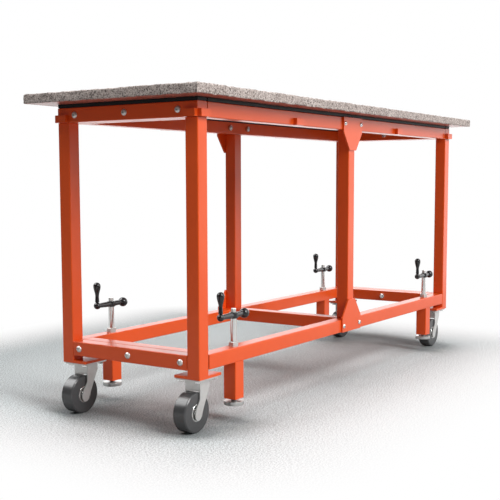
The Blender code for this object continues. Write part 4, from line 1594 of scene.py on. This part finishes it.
KEY_LAMP = Lamp("key_lamp", (-1.5, -9.47, 7.2), (0.0, 0.0, 0.2), width=4.0, height=6.8, power=1420.0)
TOP_LAMP = Lamp("top_lamp", (0.0, -0.2, 6.0), (0.0, 0.0, 0.0), width=2.8, height=2.8, power=115.0)
SIDE_LAMP = Lamp("side_lamp", (-2.1, 0.15, 2.5), (-0.78, 0.0, 0.4), width=0.9, height=0.9, power=11.0)


@dataclass
class Studio:
    """The pale floor, the soft light and the camera."""

    eye: Vector = field(default_factory=lambda: Vector((-2.5774, -1.5763, 0.6199)))
    yaw: float = 33.733
    pitch: float = -5.552
    roll: float = -0.125
    lens: float = 67.783
    sensor: float = 36.0
    shift_y: float = 0.04376
    floor_size: float = 5.2
    floor_colour: str = "#AEAEAE"
    floor_roughness: float = 0.7
    floor_mirror: float = 0.2
    floor_grain_mm: float = 4.0
    floor_grain: tuple[float, float] = (0.39, 0.58)
    floor_dark: str = "#A4A4A4"
    # Painted cool tint beneath the table that cancels the orange bounce light, and how far out it reaches.
    painted_counter_bounce_tint: str = "#F1F9FA"
    painted_counter_bounce_reach: float = 0.3
    floor_drop: float = 0.0002
    shade_centre: tuple[float, float, float] = (0.0, -0.35, 0.0)
    shaded: tuple[float, float, float] = (0.8, 0.65, 0.0)
    fade_width: float = 0.47
    # Reach, samples, darkest tone and occlusion range of the painted shade close under the table's pieces.
    painted_shade_reach: float = 0.35
    painted_shade_samples: int = 16
    painted_shade_tone: float = 0.36
    painted_shade: tuple[float, float] = (0.71, 0.86)
    ambient: float = 0.16
    bright_side: tuple[float, float, float] = (1.0, 0.0, 0.0)
    bright_turn: float = 0.85
    bright_mirror: float = 2.3
    dim_mirror: float = 0.25
    patch_side: tuple[float, float, float] = (-0.25, 0.55, 0.79)
    patch: float = 8.0
    patch_turn: tuple[float, float] = (0.87, 0.96)

    def build(self) -> None:
        """Set up the floor, the world, the lamps and the camera."""
        bpy.context.scene.view_settings.view_transform = 'Standard'
        self.floor()
        self.world()
        for lamp in (KEY_LAMP, TOP_LAMP, SIDE_LAMP):
            lamp.hang()
        self.camera()

    def seen(self, graph: Graph) -> Socket:
        """Return a socket that is one for what the camera and the reflections see."""
        rays = add_node(graph.tree, "ShaderNodeLightPath").outputs
        return graph.math('MAXIMUM', rays["Is Camera Ray"], rays["Is Glossy Ray"])

    def floor(self) -> None:
        """Lay a pale, finely grained floor that keeps the table's shadow and fades to white away from it."""
        mesh = bpy.data.meshes.new("floor")
        half, level = self.floor_size / 2, -self.floor_drop
        corners = [(-half, -half, level), (half, -half, level), (half, half, level), (-half, half, level)]
        mesh.from_pydata(corners, [], [(0, 1, 2, 3)])
        material = bpy.data.materials.new("pale_floor")
        material.use_nodes = True
        tree = material.node_tree
        graph = Graph(tree)
        shader = tree.nodes["Principled BSDF"]
        shader.inputs["Roughness"].default_value = self.floor_roughness
        shader.inputs["Specular IOR Level"].default_value = self.floor_mirror
        place = add_node(tree, "ShaderNodeTexCoord").outputs["Object"]
        far = self.beyond_shade(graph, place)
        seen = self.seen(graph)
        tree.links.new(self.floor_tone(graph, place, far, seen), shader.inputs["Base Color"])
        fade = graph.fit(far, (0.0, self.fade_width), smooth=True)
        white = add_node(tree, "ShaderNodeEmission", {}, {"Strength": 1.0})
        share = graph.math('MULTIPLY', seen, fade)
        blend = add_node(tree, "ShaderNodeMixShader", {}, {0: share, 1: shader.outputs["BSDF"],
                                                           2: white.outputs["Emission"]})
        tree.links.new(blend.outputs["Shader"], tree.nodes["Material Output"].inputs["Surface"])
        mesh.materials.append(material)
        floor = bpy.data.objects.new("floor", mesh)
        bpy.context.collection.objects.link(floor)

    def beyond_shade(self, graph: Graph, place: Socket) -> Socket:
        """Return how far a place on the floor lies outside the table's shade, in metres.

        Args:
            graph: the floor's tree.
            place: the floor's coordinates.

        Returns:
            The distance.
        """
        centred = add_node(graph.tree, "ShaderNodeMapping", {},
                           {"Vector": place, "Location": self.shade_centre})
        aside = graph.vector('ABSOLUTE', centred.outputs["Vector"])
        outside = graph.vector('MAXIMUM', graph.vector('SUBTRACT', aside, self.shaded))
        return graph.vector('LENGTH', outside, result="Value")

    def floor_tone(self, graph: Graph, place: Socket, far: Socket, seen: Socket) -> Socket:
        """Return the floor's colour: grained, with a painted cool tint beneath the table that cancels orange
        bounce light, and painted shade close under its pieces.

        Args:
            graph: the floor's tree.
            place: the floor's coordinates.
            far: distance outside the table's shade.
            seen: one for what the camera and the reflections see, where other light meets a plain grey.

        Returns:
            The colour.
        """
        grain = graph.texture("Noise", place, self.floor_grain_mm, Detail=3.0, Roughness=0.7)
        dark, pale = self.floor_grain
        tone = graph.ramp(grain, (dark, self.floor_dark), (pale, WHITE))
        # Painted cool tint beneath the table, which cancels the orange bounce light there.
        cool = graph.ramp(far, (0.0, self.painted_counter_bounce_tint), (self.painted_counter_bounce_reach, WHITE))
        tinted = graph.mix(1.0, tone, cool, 'MULTIPLY')
        # Painted shade: the floor's colour darkens where ambient occlusion finds pieces close above it.
        near = add_node(graph.tree, "ShaderNodeAmbientOcclusion", {"samples": self.painted_shade_samples},
                        {"Distance": self.painted_shade_reach})
        painted_shade = graph.fit(near.outputs["AO"], self.painted_shade, (self.painted_shade_tone, 1.0), smooth=True)
        shadowed = graph.mix(1.0, tinted, painted_shade, 'MULTIPLY')
        return graph.mix(seen, linear(self.floor_colour), shadowed)

    def world(self) -> None:
        """Light the scene evenly, white to the camera, with a bright and a dim side in reflections."""
        world = bpy.data.worlds.new("studio")
        world.use_nodes = True
        tree = world.node_tree
        graph = Graph(tree)
        background = tree.nodes["Background"]
        way = add_node(tree, "ShaderNodeTexCoord").outputs["Generated"]
        facing = graph.vector('DOT_PRODUCT', way, self.bright_side, result="Value")
        sides = graph.fit(facing, (0.0, self.bright_turn), (self.dim_mirror, self.bright_mirror), smooth=True)
        toward = graph.vector('DOT_PRODUCT', way, self.patch_side, result="Value")
        glint = graph.fit(toward, self.patch_turn, (0.0, self.patch), smooth=True)
        mirrored = graph.math('ADD', sides, glint)
        rays = add_node(tree, "ShaderNodeLightPath").outputs
        shown = graph.fit(rays["Is Camera Ray"], target=(mirrored, 1.0))
        strength = graph.fit(self.seen(graph), target=(self.ambient, shown))
        background.inputs["Color"].default_value = linear(WHITE)
        tree.links.new(strength, background.inputs["Strength"])
        bpy.context.scene.world = world

    def camera(self) -> None:
        """Stand the camera where the photograph was taken from."""
        yaw, pitch, roll = (math.radians(a) for a in (self.yaw, self.pitch, self.roll))
        ahead = Vector((math.cos(pitch) * math.cos(yaw), math.cos(pitch) * math.sin(yaw), math.sin(pitch)))
        right = ahead.cross(Vector((0, 0, 1))).normalized()
        up = right.cross(ahead)
        right, up = (right * math.cos(roll) + up * math.sin(roll),
                     up * math.cos(roll) - right * math.sin(roll))
        data = bpy.data.cameras.new("camera")
        data.lens = self.lens
        data.sensor_width = self.sensor
        data.shift_y = self.shift_y
        camera = bpy.data.objects.new("camera", data)
        turn = Matrix((right, up, -ahead)).transposed().to_4x4()
        camera.matrix_world = Matrix.Translation(self.eye) @ turn
        bpy.context.collection.objects.link(camera)
        bpy.context.scene.camera = camera


# Width across the flats and height of a caster bolt's head.
CASTER_BOLT = (0.013, 0.0053)


def main() -> None:
    """Build the studio and dress the table."""
    logging.basicConfig(level=logging.INFO, format="%(name)s %(message)s")
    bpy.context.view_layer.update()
    Studio().build()
    TubeFrame().dress()
    StoneTop().dress()
    caster_bolts = FastenerSet(fastener_recipe(), hex_head(*CASTER_BOLT), BRIGHT_ZINC)
    for corner in CORNERS:
        Caster(corner, caster_bolts).dress()
        Jack(corner).dress()
    caster_bolts.dress("caster_bolts", "frame")


if __name__ == "__main__":
    main()
